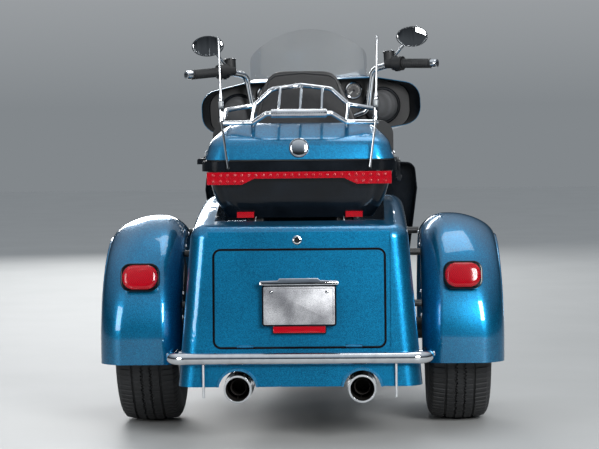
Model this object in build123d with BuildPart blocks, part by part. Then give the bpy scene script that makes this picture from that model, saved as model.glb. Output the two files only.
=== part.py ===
from build123d import *
from math import cos, radians, sin, tan
import os

os.makedirs("parts", exist_ok=True)

# Millimetres. The origin is on the ground at the middle of the trike, +Y is ahead and +X its right side
overall_length = 2670
wheelbase = 1670
rear_overhang = 680
rear_axle_y = rear_overhang - overall_length / 2
front_axle_y = rear_axle_y + wheelbase
fit_gap = 0.3
seam_gap = 5
running_gap = 6

# Wheels
rear_track = 1092
rear_tyre_radius = 324
rear_tyre_width = 215
rear_rim_radius = 190.5
front_tyre_radius = 320
front_tyre_width = 130
front_rim_radius = 203
tyre_wall = 12
bead_height = 10
rim_wall = 6

# Steering head and fork
rake = 26
fork_angle = 32
trail = 100
steer_at_rest = 5
fork_spread = 230
fork_tube = 49
fork_slider = 60
head_tube = 60
stem = 26
head_low = 800
head_high = 940
bar_tube = 25.4

# Trunk body over the rear axle
trunk_wall = 4
trunk_low = 200
trunk_high = 820
trunk_half_low = 406
trunk_half_high = 352
trunk_rear_low = -648
trunk_rear_high = -590
trunk_front = 120
trunk_corner = 60
trunk_shoulder = 50
panel_front = -536
deck_height = 712
deck_channel = 570
door_width = 560
door_height = 317
door_foot = 332
door_thickness = 18
door_corner = 20
door_recess = 5
door_recess_border = 17
liner_width = 580
liner_front = -130
liner_floor = 325

# Rear fenders
fender_radius = 414
fender_outside = 695
fender_inside = 412
fender_wall = 4
fender_corner = 64
fender_inner_corner = 45
fender_skirt_radius = 336
fender_foot = 246

# Bumper and plate
bumper_tube = 40
bumper_height = 295
plate_width = 240
plate_height = 130
plate_foot = 402

# Exhaust
tip_spread = 412
tip_height = 192
tip_diameter = 93
tip_bore = 80
muffler_diameter = 100
pipe_diameter = 44
pipe_bend = 60

# Top case
case_half_low = 246
case_half_high = 325
case_low = 750
case_seam = 940
case_crease = 809
case_rear = -480
case_front = 20
case_wall = 4
lid_top = 1066
hinge_out = 343

# Engine
crank_ahead = 960
crank_height = 300
crankcase_radius = 138
crankcase_half = 95
v_angle = 45
fin_count = 9
fin_pitch = 12


def spot(x, ahead, height):
    """A point, given by its distance ahead of the rear axle"""
    return (x, rear_axle_y + ahead, height)


def tube(points, diameter, bend):
    """A round bar along straight runs with rounded corners"""
    with BuildPart(mode=Mode.PRIVATE) as bar:
        with BuildLine() as route:
            if len(points) > 2:
                FilletPolyline(*points, radius=bend)
            else:
                Polyline(*points)
        with BuildSketch(Plane(origin=route.line @ 0, z_dir=route.line % 0)):
            Circle(diameter / 2)
        sweep()
    return bar.part


def both_sides(points):
    """A route and its mirror image on the other side"""
    return [points, [(-x, y, z) for x, y, z in points]]


def fork_line(height):
    """How far ahead the fork tubes stand at a height"""
    return wheelbase - (height - front_tyre_radius) * tan(radians(fork_angle))


def steering_line(height):
    """How far ahead the steering axis stands at a height"""
    return wheelbase + trail - height * tan(radians(rake))


steering_axis = Axis(spot(0, wheelbase + trail, 0), (0, -sin(radians(rake)), cos(radians(rake))))


def finish(piece, label):
    """Names a piece and writes it"""
    piece.label = label
    export_step(piece, f"parts/{label}.step")


def steer(piece, label):
    """Turns a piece of the steering to where it stands parked, and writes it"""
    turned = piece.rotate(steering_axis, steer_at_rest)
    finish(turned, label)


# Wheels: each row gives the name, centre, tyre radius, tyre width, rim radius and outer side
wheels = [
    ("rear_{}_left", (-rear_track / 2, rear_axle_y), rear_tyre_radius, rear_tyre_width, rear_rim_radius, -1),
    ("rear_{}_right", (rear_track / 2, rear_axle_y), rear_tyre_radius, rear_tyre_width, rear_rim_radius, 1),
    ("front_{}", (0, front_axle_y), front_tyre_radius, front_tyre_width, front_rim_radius, 1),
]
rear_hub_radius = 62
front_hub_radius = 42
hub_bore = 25


def wheel_sizes(width):
    """Half widths of the tyre, its tread and its bead"""
    return width / 2, width * 0.44, width * 0.38


for name, (x, y), radius, width, rim_radius, side in wheels:
    half, tread_half, bead_half = wheel_sizes(width)
    hub = Vector(x, y, radius)
    shoulder = radius - 12
    middle = (rim_radius + shoulder) / 2 - 8
    across = Plane(hub, x_dir=(1, 0, 0), z_dir=(0, -1, 0))
    with BuildPart() as tyre:
        with BuildSketch(across):
            with BuildLine():
                ThreePointArc((tread_half, shoulder), (0, radius), (-tread_half, shoulder))
                Polyline(
                    (-tread_half, shoulder),
                    (-half, middle),
                    (-bead_half, rim_radius + bead_height),
                    (-bead_half, rim_radius),
                    (-bead_half + tyre_wall, rim_radius),
                    (-half + tyre_wall, middle),
                    (-tread_half + tyre_wall, shoulder - tyre_wall),
                    (tread_half - tyre_wall, shoulder - tyre_wall),
                    (half - tyre_wall, middle),
                    (bead_half - tyre_wall, rim_radius),
                    (bead_half, rim_radius),
                    (bead_half, rim_radius + bead_height),
                    (half, middle),
                    (tread_half, shoulder),
                )
            make_face()
        revolve(axis=Axis(hub, (1, 0, 0)))
    if name == "front_{}":
        steer(tyre.part, name.format("tyre"))
    else:
        finish(tyre.part, name.format("tyre"))

# Cast wheels: each row gives the hub radius, hub half length, spokes and how far out the spokes stand
rear_dish = 45
rear_hub_half = 30
front_hub_half = 45
castings = [
    (rear_hub_radius, rear_hub_half, 10, rear_dish),
    (rear_hub_radius, rear_hub_half, 10, rear_dish),
    (front_hub_radius, front_hub_half, 9, 0),
]
spoke_root = 30
spoke_tip = 22
spoke_depth = 18

for wheel, (hub_radius, hub_half, spokes, dish) in zip(wheels, castings):
    name, (x, y), radius, width, rim_radius, side = wheel
    half, tread_half, bead_half = wheel_sizes(width)
    hub = Vector(x, y, radius)
    flange = rim_radius + 9
    well = rim_radius - 14
    across = Plane(hub, x_dir=(1, 0, 0), z_dir=(0, -1, 0))
    wheel_side = Plane(hub, x_dir=(0, 1, 0), z_dir=(1, 0, 0))
    with BuildPart() as rim:
        with BuildSketch(across):
            with BuildLine():
                Polyline(
                    (-bead_half - rim_wall, flange),
                    (-bead_half, flange),
                    (-bead_half, rim_radius),
                    (-bead_half + 20, rim_radius),
                    (-bead_half + 26, well),
                    (bead_half - 26, well),
                    (bead_half - 20, rim_radius),
                    (bead_half, rim_radius),
                    (bead_half, flange),
                    (bead_half + rim_wall, flange),
                    (bead_half + rim_wall, rim_radius - rim_wall),
                    (bead_half - 18, rim_radius - rim_wall),
                    (bead_half - 24, well - rim_wall),
                    (-bead_half + 24, well - rim_wall),
                    (-bead_half + 18, rim_radius - rim_wall),
                    (-bead_half - rim_wall, rim_radius - rim_wall),
                    close=True,
                )
            make_face()
        revolve(axis=Axis(hub, (1, 0, 0)))
        with BuildSketch(wheel_side.offset(side * dish - spoke_depth / 2)):
            with PolarLocations(0, spokes):
                with BuildLine():
                    Polyline(
                        (hub_radius - 8, -spoke_root / 2),
                        (well - 2, -spoke_tip / 2),
                        (well - 2, spoke_tip / 2),
                        (hub_radius - 8, spoke_root / 2),
                        close=True,
                    )
                make_face()
        extrude(amount=spoke_depth)
        with BuildSketch(wheel_side.offset(side * dish - hub_half)):
            Circle(hub_radius)
        extrude(amount=2 * hub_half)
        with BuildSketch(wheel_side.offset(side * dish - hub_half)):
            Circle(hub_bore / 2)
        extrude(amount=2 * hub_half, mode=Mode.SUBTRACT)
    if name == "front_{}":
        steer(rim.part, name.format("rim"))
    else:
        finish(rim.part, name.format("rim"))

# Front brake discs, on both sides of the hub
disc_radius = 150
disc_place = 45
disc_thickness = 5
front_hub = Vector(0, front_axle_y, front_tyre_radius)
with BuildPart() as front_discs:
    with BuildSketch(Plane(front_hub, x_dir=(0, 1, 0), z_dir=(1, 0, 0)).offset(disc_place)):
        Circle(disc_radius)
        Circle(18, mode=Mode.SUBTRACT)
        with PolarLocations(78, 5):
            SlotOverall(62, 34, rotation=90, mode=Mode.SUBTRACT)
    extrude(amount=disc_thickness)
    mirror(about=Plane.YZ)
steer(front_discs.part, "front_discs")

# Frame
frame_tubes = [
    # diameter, bend, route on the right side
    (34, 60, [spot(16, 1325, 845), spot(28, 1300, 755), spot(110, 1288, 630), spot(135, 1288, 180),
              spot(135, 600, 180), spot(105, 380, 240), spot(105, -560, 240)]),
    (30, 40, [spot(110, 600, 652), spot(150, 420, 658), spot(150, -85, 668)]),
    (28, 40, [spot(135, 500, 190), spot(128, 478, 660)]),
    (28, 40, [spot(105, -85, 240), spot(150, -85, 668)]),
]
backbone_route = [spot(0, steering_line(875), 875), spot(0, 1210, 762), spot(0, 760, 742), spot(0, 600, 652)]
backbone_tube = 48
cross_bars = [
    # how far ahead, height, half length
    (600, 652, 112), (478, 400, 130), (-85, 668, 150), (-540, 240, 105), (1288, 300, 133), (478, 658, 128),
]
frame_bars = [tube(route, size, bend) for size, bend, right in frame_tubes for route in both_sides(right)]
frame_bars.append(tube(backbone_route, backbone_tube, 120))
for ahead, height, half in cross_bars:
    frame_bars.append(tube([spot(-half, ahead, height), spot(half, ahead, height)], 28, 0))
for x in (-105, 105):
    for ahead in (-160, -520):
        frame_bars.append(tube([spot(x, ahead, 240), spot(x, ahead, liner_floor - fit_gap)], 24, 0))
head_ends = [spot(0, steering_line(z), z) for z in (head_low, head_high)]
with BuildPart() as frame:
    add(frame_bars)
    add(tube(head_ends, head_tube, 0))
    add(tube(head_ends, stem + 2 * fit_gap, 0), mode=Mode.SUBTRACT)
finish(frame.part, "frame")

# Engine
crank = Vector(*spot(0, crank_ahead, crank_height))
gearbox_ahead = 700
gearbox_height = 320
gearbox_length = 300
primary_radius = 118
side_plane = Plane((0, 0, 0), x_dir=(0, 1, 0), z_dir=(1, 0, 0))
with BuildPart() as engine_case:
    with BuildSketch(side_plane.offset(-crankcase_half)):
        with Locations((crank.Y, crank.Z)):
            Circle(crankcase_radius)
        with Locations((rear_axle_y + gearbox_ahead, gearbox_height)):
            RectangleRounded(gearbox_length, 215, 40)
    extrude(amount=2 * crankcase_half)
    with BuildSketch(side_plane.offset(-crankcase_half)):
        with BuildLine():
            Polyline(
                (rear_axle_y + gearbox_ahead, gearbox_height - primary_radius),
                (crank.Y, crank_height - 90),
                (crank.Y, crank_height + 90),
                (rear_axle_y + gearbox_ahead, gearbox_height + primary_radius),
                close=True,
            )
        make_face()
        with Locations((crank.Y, crank_height)):
            Circle(90)
        with Locations((rear_axle_y + gearbox_ahead, gearbox_height)):
            Circle(primary_radius)
    extrude(amount=-85)
    with BuildSketch(side_plane.offset(-crankcase_half - 85)):
        with Locations((rear_axle_y + gearbox_ahead, gearbox_height)):
            Circle(85)
    extrude(amount=-10)
    with BuildSketch(side_plane.offset(crankcase_half)):
        with BuildLine():
            Polyline(
                (crank.Y - 105, crank_height - 60),
                (crank.Y + 105, crank_height - 60),
                (crank.Y + 115, crank_height + 20),
                (crank.Y + 60, crank_height + 128),
                (crank.Y - 60, crank_height + 128),
                (crank.Y - 115, crank_height + 20),
                close=True,
            )
        make_face()
    extrude(amount=42)
    for ahead, lug in ((1030, 30), (650, 60)):
        add(tube([spot(-135, ahead, 190), spot(135, ahead, 190)], lug, 0))
    add(frame.part, mode=Mode.SUBTRACT)
finish(engine_case.part, "engine_case")

barrel_start = 120
head_start = 305
rocker_start = 362
rocker_end = 408
pushrod_spread = 26
pushrod_out = 84
with BuildPart() as engine_cylinders:
    for lean in (-v_angle / 2, v_angle / 2):
        up = Vector(0, sin(radians(lean)), cos(radians(lean)))
        base = Plane(crank, x_dir=(1, 0, 0), z_dir=up)
        with BuildSketch(base.offset(barrel_start)):
            Circle(50)
        extrude(amount=head_start - barrel_start)
        for step in range(fin_count):
            with BuildSketch(base.offset(head_start - 6 - step * fin_pitch)):
                RectangleRounded(142, 122, 45)
            extrude(amount=3.5)
        with BuildSketch(base.offset(head_start)):
            RectangleRounded(120, 104, 35)
        extrude(amount=rocker_start - head_start)
        for step in range(4):
            with BuildSketch(base.offset(head_start + 10 + step * 13)):
                RectangleRounded(150, 128, 40)
            extrude(amount=4.5)
        with BuildSketch(base.offset(rocker_start)):
            RectangleRounded(148, 112, 30)
        extrude(amount=rocker_end - rocker_start, taper=10)
        with BuildSketch(base.offset(barrel_start)):
            with Locations((pushrod_out, -pushrod_spread), (pushrod_out, pushrod_spread)):
                Circle(8.5)
        extrude(amount=rocker_start - barrel_start)
        with BuildSketch(base.offset(rocker_start - 24)):
            with Locations((pushrod_out, -pushrod_spread), (pushrod_out, pushrod_spread)):
                Circle(14)
        extrude(amount=32)
    add(engine_case.part, mode=Mode.SUBTRACT)
finish(engine_cylinders.part, "engine_cylinders")

# Air cleaner on the right, with its round cover
with BuildPart() as air_cleaner:
    with BuildSketch(Plane(spot(0, crank_ahead, 560), x_dir=(0, 1, 0), z_dir=(1, 0, 0))):
        Circle(30)
    extrude(amount=150)
    add(tube([spot(24, crank_ahead - 110, 585), spot(24, crank_ahead + 110, 585)], 42, 0))
    with BuildSketch(Plane(spot(128, crank_ahead + 20, 560), x_dir=(0, 1, 0), z_dir=(1, 0, 0))):
        Circle(92)
    extrude(amount=72)
    fillet(air_cleaner.edges().group_by(Axis.X)[-1], 22)
    add(engine_cylinders.part, mode=Mode.SUBTRACT)
finish(air_cleaner.part, "air_cleaner")

# Exhaust: the pipes from the engine, and a muffler on each side fed from the right through a cross pipe
muffler_x = tip_spread / 2
muffler_front = 80
muffler_line = [
    # how far ahead, radius
    (muffler_front, pipe_diameter / 2 + 3), (60, pipe_diameter / 2 + 3), (0, muffler_diameter / 2),
    (-540, muffler_diameter / 2), (-565, tip_diameter / 2), (-650, tip_diameter / 2), (-650, tip_bore / 2),
    (-500, tip_bore / 2), (-500, 0), (muffler_front - 50, 0), (muffler_front - 50, pipe_diameter / 2),
    (muffler_front, pipe_diameter / 2),
]
header_routes = [
    [spot(60, 1140, 600), spot(190, 1142, 560), spot(190, 1120, 190), spot(190, 400, 190),
     spot(muffler_x, muffler_front, tip_height), spot(muffler_x, muffler_front - 50, tip_height)],
    [spot(60, 760, 560), spot(190, 745, 520), spot(190, 660, 190)],
    [spot(190, 230, 190), spot(-190, 230, 190), spot(-muffler_x, muffler_front, tip_height),
     spot(-muffler_x, muffler_front - 50, tip_height)],
]
with BuildPart() as exhaust_pipes:
    for route in header_routes:
        add(tube(route, pipe_diameter, pipe_bend))
    add(engine_cylinders.part, mode=Mode.SUBTRACT)
    add(engine_case.part, mode=Mode.SUBTRACT)
finish(exhaust_pipes.part, "exhaust_pipes")
for hand, side in (("left", -1), ("right", 1)):
    with BuildPart() as exhaust:
        with BuildSketch(Plane(spot(side * muffler_x, 0, tip_height), x_dir=(0, 1, 0), z_dir=(0, 0, 1))):
            with BuildLine():
                Polyline(*muffler_line, close=True)
            make_face()
        revolve(axis=Axis(spot(side * muffler_x, 0, tip_height), (0, 1, 0)))
    finish(exhaust.part, f"exhaust_{hand}")

# Fuel tank: each row of its table gives how far ahead, half width, foot and top
tank_sections = [(640, 70, 772, 850), (780, 142, 752, 905), (1000, 168, 752, 928), (1172, 88, 800, 905)]
tank_top = 926
console_line = [(700, 860), (700, 892), (880, 938), (1080, 938), (1150, 905), (1150, 860)]
with BuildPart() as fuel_tank:
    for ahead, half, foot, top in tank_sections:
        with BuildSketch(Plane(spot(0, ahead, (foot + top) / 2), x_dir=(1, 0, 0), z_dir=(0, -1, 0))):
            RectangleRounded(2 * half, top - foot, (top - foot) * 0.42)
    loft()
    for x in (-82, 82):
        with BuildSketch(Plane.XY.offset(tank_top - 60)):
            with Locations(spot(x, 960, 0)):
                Circle(34)
        extrude(amount=66)
    with BuildSketch(side_plane.offset(-26)):
        with BuildLine():
            Polyline(
                *[(rear_axle_y + ahead, height) for ahead, height in console_line], close=True,
            )
        make_face()
        fillet(vertices().group_by(Axis.Y)[-1], 10)
    extrude(amount=52)
    add(tube(backbone_route, backbone_tube + 2 * fit_gap, 120), mode=Mode.SUBTRACT)
finish(fuel_tank.part, "fuel_tank")

# Rider and pillion cushion
cushion_half = 165
cushion_outline = [
    # how far ahead, height
    (630, 742), (612, 700), (420, 679.3), (133, 679.3), (133, 712.3), (34, 712.3), (34, 850), (250, 846),
    (325, 772), (430, 738), (560, 746), (622, 770),
]
with BuildPart() as seat:
    with BuildSketch(side_plane.offset(-cushion_half)):
        with BuildLine():
            Polyline(*[(rear_axle_y + ahead, height) for ahead, height in cushion_outline], close=True)
        make_face()
        fillet(vertices(), 12)
    extrude(amount=2 * cushion_half)
    fillet(seat.faces().sort_by(Axis.X)[0].edges() + seat.faces().sort_by(Axis.X)[-1].edges(), 10)
finish(seat.part, "seat")

# Rear axle housing with its swinging arms
pumpkin_radius = 100
axle_height = rear_tyre_radius
axle_tube = 76
axle_end = rear_track / 2 + rear_dish - rear_hub_half - running_gap
stub_end = axle_end + running_gap + 2 * rear_hub_half
swing_pivot = (478, 340)
with BuildPart() as rear_axle:
    add(tube([spot(-axle_end, 0, axle_height), spot(axle_end, 0, axle_height)], axle_tube, 0))
    add(tube([spot(-stub_end, 0, axle_height), spot(stub_end, 0, axle_height)], hub_bore - 2 * fit_gap, 0))
    with BuildSketch(side_plane.offset(-85)):
        with Locations((rear_axle_y, axle_height)):
            Circle(pumpkin_radius)
    extrude(amount=170)
    for side in (-1, 1):
        with BuildSketch(side_plane.offset(side * 180 - 18)):
            with BuildLine():
                Polyline(
                    (rear_axle_y - 45, axle_height - 32), (rear_axle_y + swing_pivot[0], swing_pivot[1] - 28),
                    (rear_axle_y + swing_pivot[0], swing_pivot[1] + 28), (rear_axle_y - 45, axle_height + 32),
                    close=True,
                )
            make_face()
        extrude(amount=36)
    add(tube([spot(-180, swing_pivot[0] - 4, swing_pivot[1]), spot(180, swing_pivot[0] - 4, swing_pivot[1])], 50, 0))
    add(frame.part, mode=Mode.SUBTRACT)
finish(rear_axle.part, "rear_axle")

# Drive shaft from the gearbox to the axle, under the pivot of the swinging arms
shaft_height = 288
shaft_front = gearbox_ahead - gearbox_length / 2
shaft_line = [
    # how far ahead, radius
    (shaft_front, 48), (shaft_front - 14, 48), (shaft_front - 14, 34), (shaft_front - 60, 24), (shaft_front - 64, 18),
    (150, 18), (146, 27), (110, 27), (110, 44), (60, 44),
]
with BuildPart() as drive_shaft:
    with BuildSketch(Plane(spot(0, 0, shaft_height), x_dir=(0, 1, 0), z_dir=(1, 0, 0))):
        with BuildLine():
            Polyline((shaft_front, 0), *shaft_line, (60, 0), close=True)
        make_face()
    revolve(axis=Axis(spot(0, 0, shaft_height), (0, 1, 0)))
    add(rear_axle.part, mode=Mode.SUBTRACT)
finish(drive_shaft.part, "drive_shaft")

# Shock absorbers
with BuildPart() as shock_absorbers:
    for side in (-1, 1):
        add(tube([spot(side * 225, 120, 340), spot(side * 225, 260, 640)], 50, 0))
        add(tube([spot(side * 190, 128, 335), spot(side * 225, 128, 345)], 24, 0))
        add(tube([spot(side * 150, 258, 660), spot(side * 225, 258, 632)], 20, 0))
    add(rear_axle.part, mode=Mode.SUBTRACT)
    add(frame.part, mode=Mode.SUBTRACT)
finish(shock_absorbers.part, "shock_absorbers")


def trunk_lean(height):
    """How far ahead the rear face of the trunk stands at a height"""
    share = (height - trunk_low) / (trunk_high - trunk_low)
    return trunk_rear_low + share * (trunk_rear_high - trunk_rear_low)


# The rear face of the trunk: its x runs right, its y up the face, its z rearwards
door_plane = Plane(
    origin=spot(0, trunk_lean(door_foot), door_foot),
    x_dir=(1, 0, 0),
    z_dir=(0, trunk_low - trunk_high, trunk_rear_high - trunk_rear_low),
)
recess_width = door_width + 2 * (seam_gap + door_recess_border)


def trunk_block(inset):
    """The trunk body as a full form, drawn in by a wall"""
    with BuildPart(mode=Mode.PRIVATE) as block:
        for height, half, rear in (
            (trunk_low, trunk_half_low, trunk_rear_low),
            (trunk_high, trunk_half_high, trunk_rear_high),
        ):
            with BuildSketch(Plane.XY.offset(height)):
                with BuildLine():
                    Polyline(
                        spot(-half + inset, rear + inset, 0)[:2],
                        spot(half - inset, rear + inset, 0)[:2],
                        spot(half - inset, -40, 0)[:2],
                        spot(half * 0.62 - inset, trunk_front, 0)[:2],
                        spot(-half * 0.62 + inset, trunk_front, 0)[:2],
                        spot(-half + inset, -40, 0)[:2],
                        close=True,
                    )
                make_face()
                fillet(vertices().group_by(Axis.Y)[0], trunk_corner - inset)
        loft()
        with BuildSketch(side_plane.offset(-500)):
            with BuildLine():
                ThreePointArc(
                    (rear_axle_y - 700, deck_height - 18 - inset),
                    (rear_axle_y - 200, deck_height + 82 - inset),
                    (rear_axle_y + 300, deck_height + 90 - inset),
                )
                Polyline(
                    (rear_axle_y + 300, deck_height + 90 - inset),
                    (rear_axle_y + 300, 900),
                    (rear_axle_y - 700, 900),
                    (rear_axle_y - 700, deck_height - 18 - inset),
                )
            make_face()
        extrude(amount=1000, mode=Mode.SUBTRACT)
        fillet(block.faces().sort_by(Axis.Z)[-1].edges().filter_by(Axis.X, reverse=True), trunk_shoulder - inset)
        with BuildSketch(Plane.XY.offset(deck_height - inset)):
            with Locations((0, rear_axle_y)):
                Rectangle(deck_channel + 2 * inset, 2 * (520 + inset))
        extrude(amount=200, mode=Mode.SUBTRACT)
        with BuildSketch(door_plane.offset(-door_recess - inset)):
            with Locations((0, 200 - seam_gap - door_recess_border - inset)):
                Rectangle(recess_width + 2 * inset, 400)
            fillet(vertices().group_by(Axis.Y)[0], door_corner)
        extrude(amount=60, mode=Mode.SUBTRACT)
    return block.part


def hinge_plane(x):
    """Across the hinge of the door: its x runs rearwards, its y downwards"""
    foot = door_plane.offset(-door_recess).origin
    return Plane(foot + Vector(x, 0, 0), x_dir=door_plane.z_dir, z_dir=(1, 0, 0))


knuckle_radius = 4.5
trunk_outside = trunk_block(0)
trunk_inside = trunk_block(trunk_wall)
arch_radius = 62
brow = 8
jamb_depth = door_recess + door_thickness + seam_gap
lip = 12
with BuildPart() as trunk_shell:
    add(trunk_outside)
    with BuildSketch(Plane(spot(0, trunk_rear_low - brow, tip_height), x_dir=(1, 0, 0), z_dir=(0, -1, 0))):
        with Locations((-muffler_x, 0), (muffler_x, 0)):
            Circle(arch_radius + brow)
    extrude(amount=-60)
    add(trunk_inside, mode=Mode.SUBTRACT)
    with BuildSketch(Plane.XY.offset(trunk_low)):
        with Locations((0, rear_axle_y)):
            Rectangle(1000, 1500)
    extrude(amount=-100, mode=Mode.SUBTRACT)
    with BuildSketch(Plane(spot(0, -750, tip_height), x_dir=(1, 0, 0), z_dir=(0, -1, 0))):
        with Locations((-muffler_x, 0), (muffler_x, 0)):
            Circle(arch_radius)
    extrude(amount=-200, mode=Mode.SUBTRACT)
    with BuildSketch(side_plane.offset(-500)):
        with Locations((rear_axle_y, axle_height)):
            Circle(150)
        with Locations((rear_axle_y, axle_height - 150)):
            Rectangle(300, 300)
    extrude(amount=1000, mode=Mode.SUBTRACT)
    with BuildSketch(door_plane.offset(-door_recess)):
        with Locations((0, door_height / 2)):
            RectangleRounded(
                door_width + 2 * seam_gap + 2 * trunk_wall, door_height + 2 * seam_gap + 2 * trunk_wall, door_corner
            )
    extrude(amount=-jamb_depth)
    with BuildSketch(door_plane):
        with Locations((0, door_height / 2)):
            RectangleRounded(door_width + 2 * seam_gap, door_height + 2 * seam_gap, door_corner)
    extrude(amount=-jamb_depth, mode=Mode.SUBTRACT)
    with BuildSketch(door_plane):
        with Locations((0, door_height / 2)):
            RectangleRounded(door_width - 2 * lip, door_height - 2 * lip, door_corner)
    extrude(amount=-100, mode=Mode.SUBTRACT)
    for x in (-180, 180):
        for start in (x - 27, x + 21):
            with BuildSketch(hinge_plane(start)):
                Circle(knuckle_radius)
                with Locations((-4, 6)):
                    Rectangle(8, 12)
            extrude(amount=6)
        with BuildSketch(hinge_plane(x - 27)):
            Circle(2)
        extrude(amount=54)
panel_cut = Plane(spot(0, panel_front, 0), x_dir=(1, 0, 0), z_dir=(0, -1, 0))
finish(split(trunk_shell.part, bisect_by=panel_cut, keep=Keep.BOTTOM), "trunk_shell")
finish(split(trunk_shell.part, bisect_by=panel_cut, keep=Keep.TOP), "trunk_rear_panel")

# The load space of the trunk is a tray behind the door
liner_wall = 3
with BuildPart() as trunk_liner:
    with BuildSketch(Plane.XY.offset(liner_floor)):
        with Locations((0, rear_axle_y + liner_front - 300)):
            Rectangle(liner_width, 600)
    extrude(amount=door_foot + door_height + 20 - liner_floor)
    with BuildSketch(Plane.XY.offset(liner_floor + liner_wall)):
        with Locations((0, rear_axle_y + liner_front - 300 - liner_wall)):
            Rectangle(liner_width - 2 * liner_wall, 600)
    extrude(amount=door_foot + door_height + 20 - liner_floor - 2 * liner_wall, mode=Mode.SUBTRACT)
    split(bisect_by=door_plane.offset(-door_recess - jamb_depth), keep=Keep.BOTTOM)
finish(trunk_liner.part, "trunk_liner")

# Door of the trunk, hinged along its lower edge
with BuildPart() as trunk_door:
    with BuildSketch(door_plane.offset(-door_recess)):
        with Locations((0, door_height / 2)):
            RectangleRounded(door_width, door_height, door_corner)
    extrude(amount=-door_thickness)
    with BuildSketch(door_plane.offset(-door_recess - door_thickness)):
        with Locations((0, door_height / 2)):
            RectangleRounded(door_width - 90, door_height - 90, door_corner)
    extrude(amount=door_thickness - trunk_wall, mode=Mode.SUBTRACT)
    for x in (-180, 180):
        with BuildSketch(hinge_plane(x - 28)):
            with Locations((-3, 0)):
                Rectangle(20, 12)
        extrude(amount=56, mode=Mode.SUBTRACT)
        with BuildSketch(hinge_plane(x - 20)):
            Circle(knuckle_radius)
            with Locations((-6, -6)):
                Rectangle(12, 12)
            Circle(2 + fit_gap, mode=Mode.SUBTRACT)
        extrude(amount=40)
finish(trunk_door.part, "trunk_door")

# Plate holder on the door: a hood above the plate and a reflector under it
plate_rise = plate_foot - door_foot
plate_clear = 3
with BuildPart() as plate_holder:
    with BuildSketch(door_plane.offset(-door_recess)):
        with Locations((0, plate_rise + plate_height * 0.6)):
            RectangleRounded(plate_width * 0.6, plate_height, 8)
    extrude(amount=24)
    with BuildSketch(door_plane.offset(24 - door_recess)):
        with Locations((0, plate_rise + plate_height / 2)):
            RectangleRounded(plate_width, plate_height, 6)
    extrude(amount=3)
    with BuildSketch(door_plane.offset(-door_recess)):
        with Locations((0, plate_rise + plate_height + plate_clear + 6)):
            RectangleRounded(plate_width + 18, 12, 4)
        with Locations((0, plate_rise + plate_height + 16)):
            RectangleRounded(125, 14, 4)
    extrude(amount=42)
finish(plate_holder.part, "plate_holder")


def fender_section(side, inset):
    """The section of a rear fender across its wheel: x, then the distance from the axle"""
    with BuildSketch(mode=Mode.PRIVATE) as section:
        middle = (fender_radius + fender_skirt_radius) / 2 - inset
        with Locations((side * (fender_inside + fender_outside) / 2, middle)):
            Rectangle(fender_outside - fender_inside - 2 * inset, fender_radius - fender_skirt_radius)
        crown = vertices().group_by(Axis.Y)[-1].sort_by(lambda corner: abs(corner.X))
        fillet(crown[-1], fender_corner - inset)
        fillet(crown[0], fender_inner_corner - inset)
    return section.sketch


def fender_block(side, inset):
    """A rear fender as a full form over its wheel, drawn in by a wall"""
    hub = Vector(0, rear_axle_y, axle_height)
    with BuildPart(mode=Mode.PRIVATE) as block:
        with BuildSketch(Plane(hub, x_dir=(1, 0, 0), z_dir=(0, 0, -1))):
            add(fender_section(side, inset))
        revolve(axis=Axis(hub, (-1, 0, 0)), revolution_arc=180)
        for back in (-1, 1):
            with BuildSketch(Plane(hub, x_dir=(1, 0, 0), z_dir=(0, 0, back))):
                add(fender_section(side, inset))
            extrude(amount=-back * (axle_height - fender_foot))
    return block.part


boss_radius = 352
boss_size = 12
fender_bosses = [20, 55, 90]
lamp_x = 552
lamp_rise = 30
lamp_width = 133
lamp_height = 96
lamp_tilt = 14
for hand, side in (("left", -1), ("right", 1)):
    with BuildPart() as rear_fender:
        add(fender_block(side, 0))
        add(fender_block(side, fender_wall), mode=Mode.SUBTRACT)
        for angle in fender_bosses:
            ahead = -boss_radius * cos(radians(angle))
            height = axle_height + boss_radius * sin(radians(angle))
            boss = [spot(side * 300, ahead, height), spot(side * (fender_inside + 2), ahead, height)]
            add(tube(boss, 2 * boss_size, 0))
        add(trunk_outside, mode=Mode.SUBTRACT)
        add(trunk_inside, mode=Mode.SUBTRACT)
    rear_fender.part = Part() + rear_fender.part.solids().sort_by(SortBy.VOLUME)[-1]
    finish(rear_fender.part, f"rear_fender_{hand}")

# Tail lamps: a black bezel with a red lens on the back of each fender
with BuildPart() as tail_lamps:
    for side in (-1, 1):
        lamp_plane = Plane(
            spot(
                side * lamp_x,
                -(fender_radius + 26) * cos(radians(lamp_rise)),
                axle_height + (fender_radius + 26) * sin(radians(lamp_rise)),
            ),
            x_dir=(1, 0, 0),
            z_dir=(0, -cos(radians(lamp_tilt)), sin(radians(lamp_tilt))),
        )
        with BuildSketch(lamp_plane):
            RectangleRounded(lamp_width, lamp_height, 32)
        extrude(amount=-70)
        with BuildSketch(lamp_plane):
            RectangleRounded(lamp_width - 14, lamp_height - 14, 26)
        extrude(amount=7)
        add(fender_block(side, 0), mode=Mode.SUBTRACT)
finish(tail_lamps.part, "tail_lamps")

# Bumper bar, carried on the sides of the trunk
bumper_side = 424
bumper_route = [spot(bumper_side, -520, 296), spot(bumper_side, -660, bumper_height),
                spot(-bumper_side, -660, bumper_height), spot(-bumper_side, -520, 296)]
with BuildPart() as rear_bumper:
    add(tube(bumper_route, bumper_tube, 48))
    for side in (-1, 1):
        add(tube([spot(side * 380, -540, 295), spot(side * bumper_side, -540, 295)], 26, 0))
        add(tube([spot(side * 318, -655, bumper_height), spot(side * 318, -655, 165)], 9, 0))
    add(trunk_outside, mode=Mode.SUBTRACT)
finish(rear_bumper.part, "rear_bumper")

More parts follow.
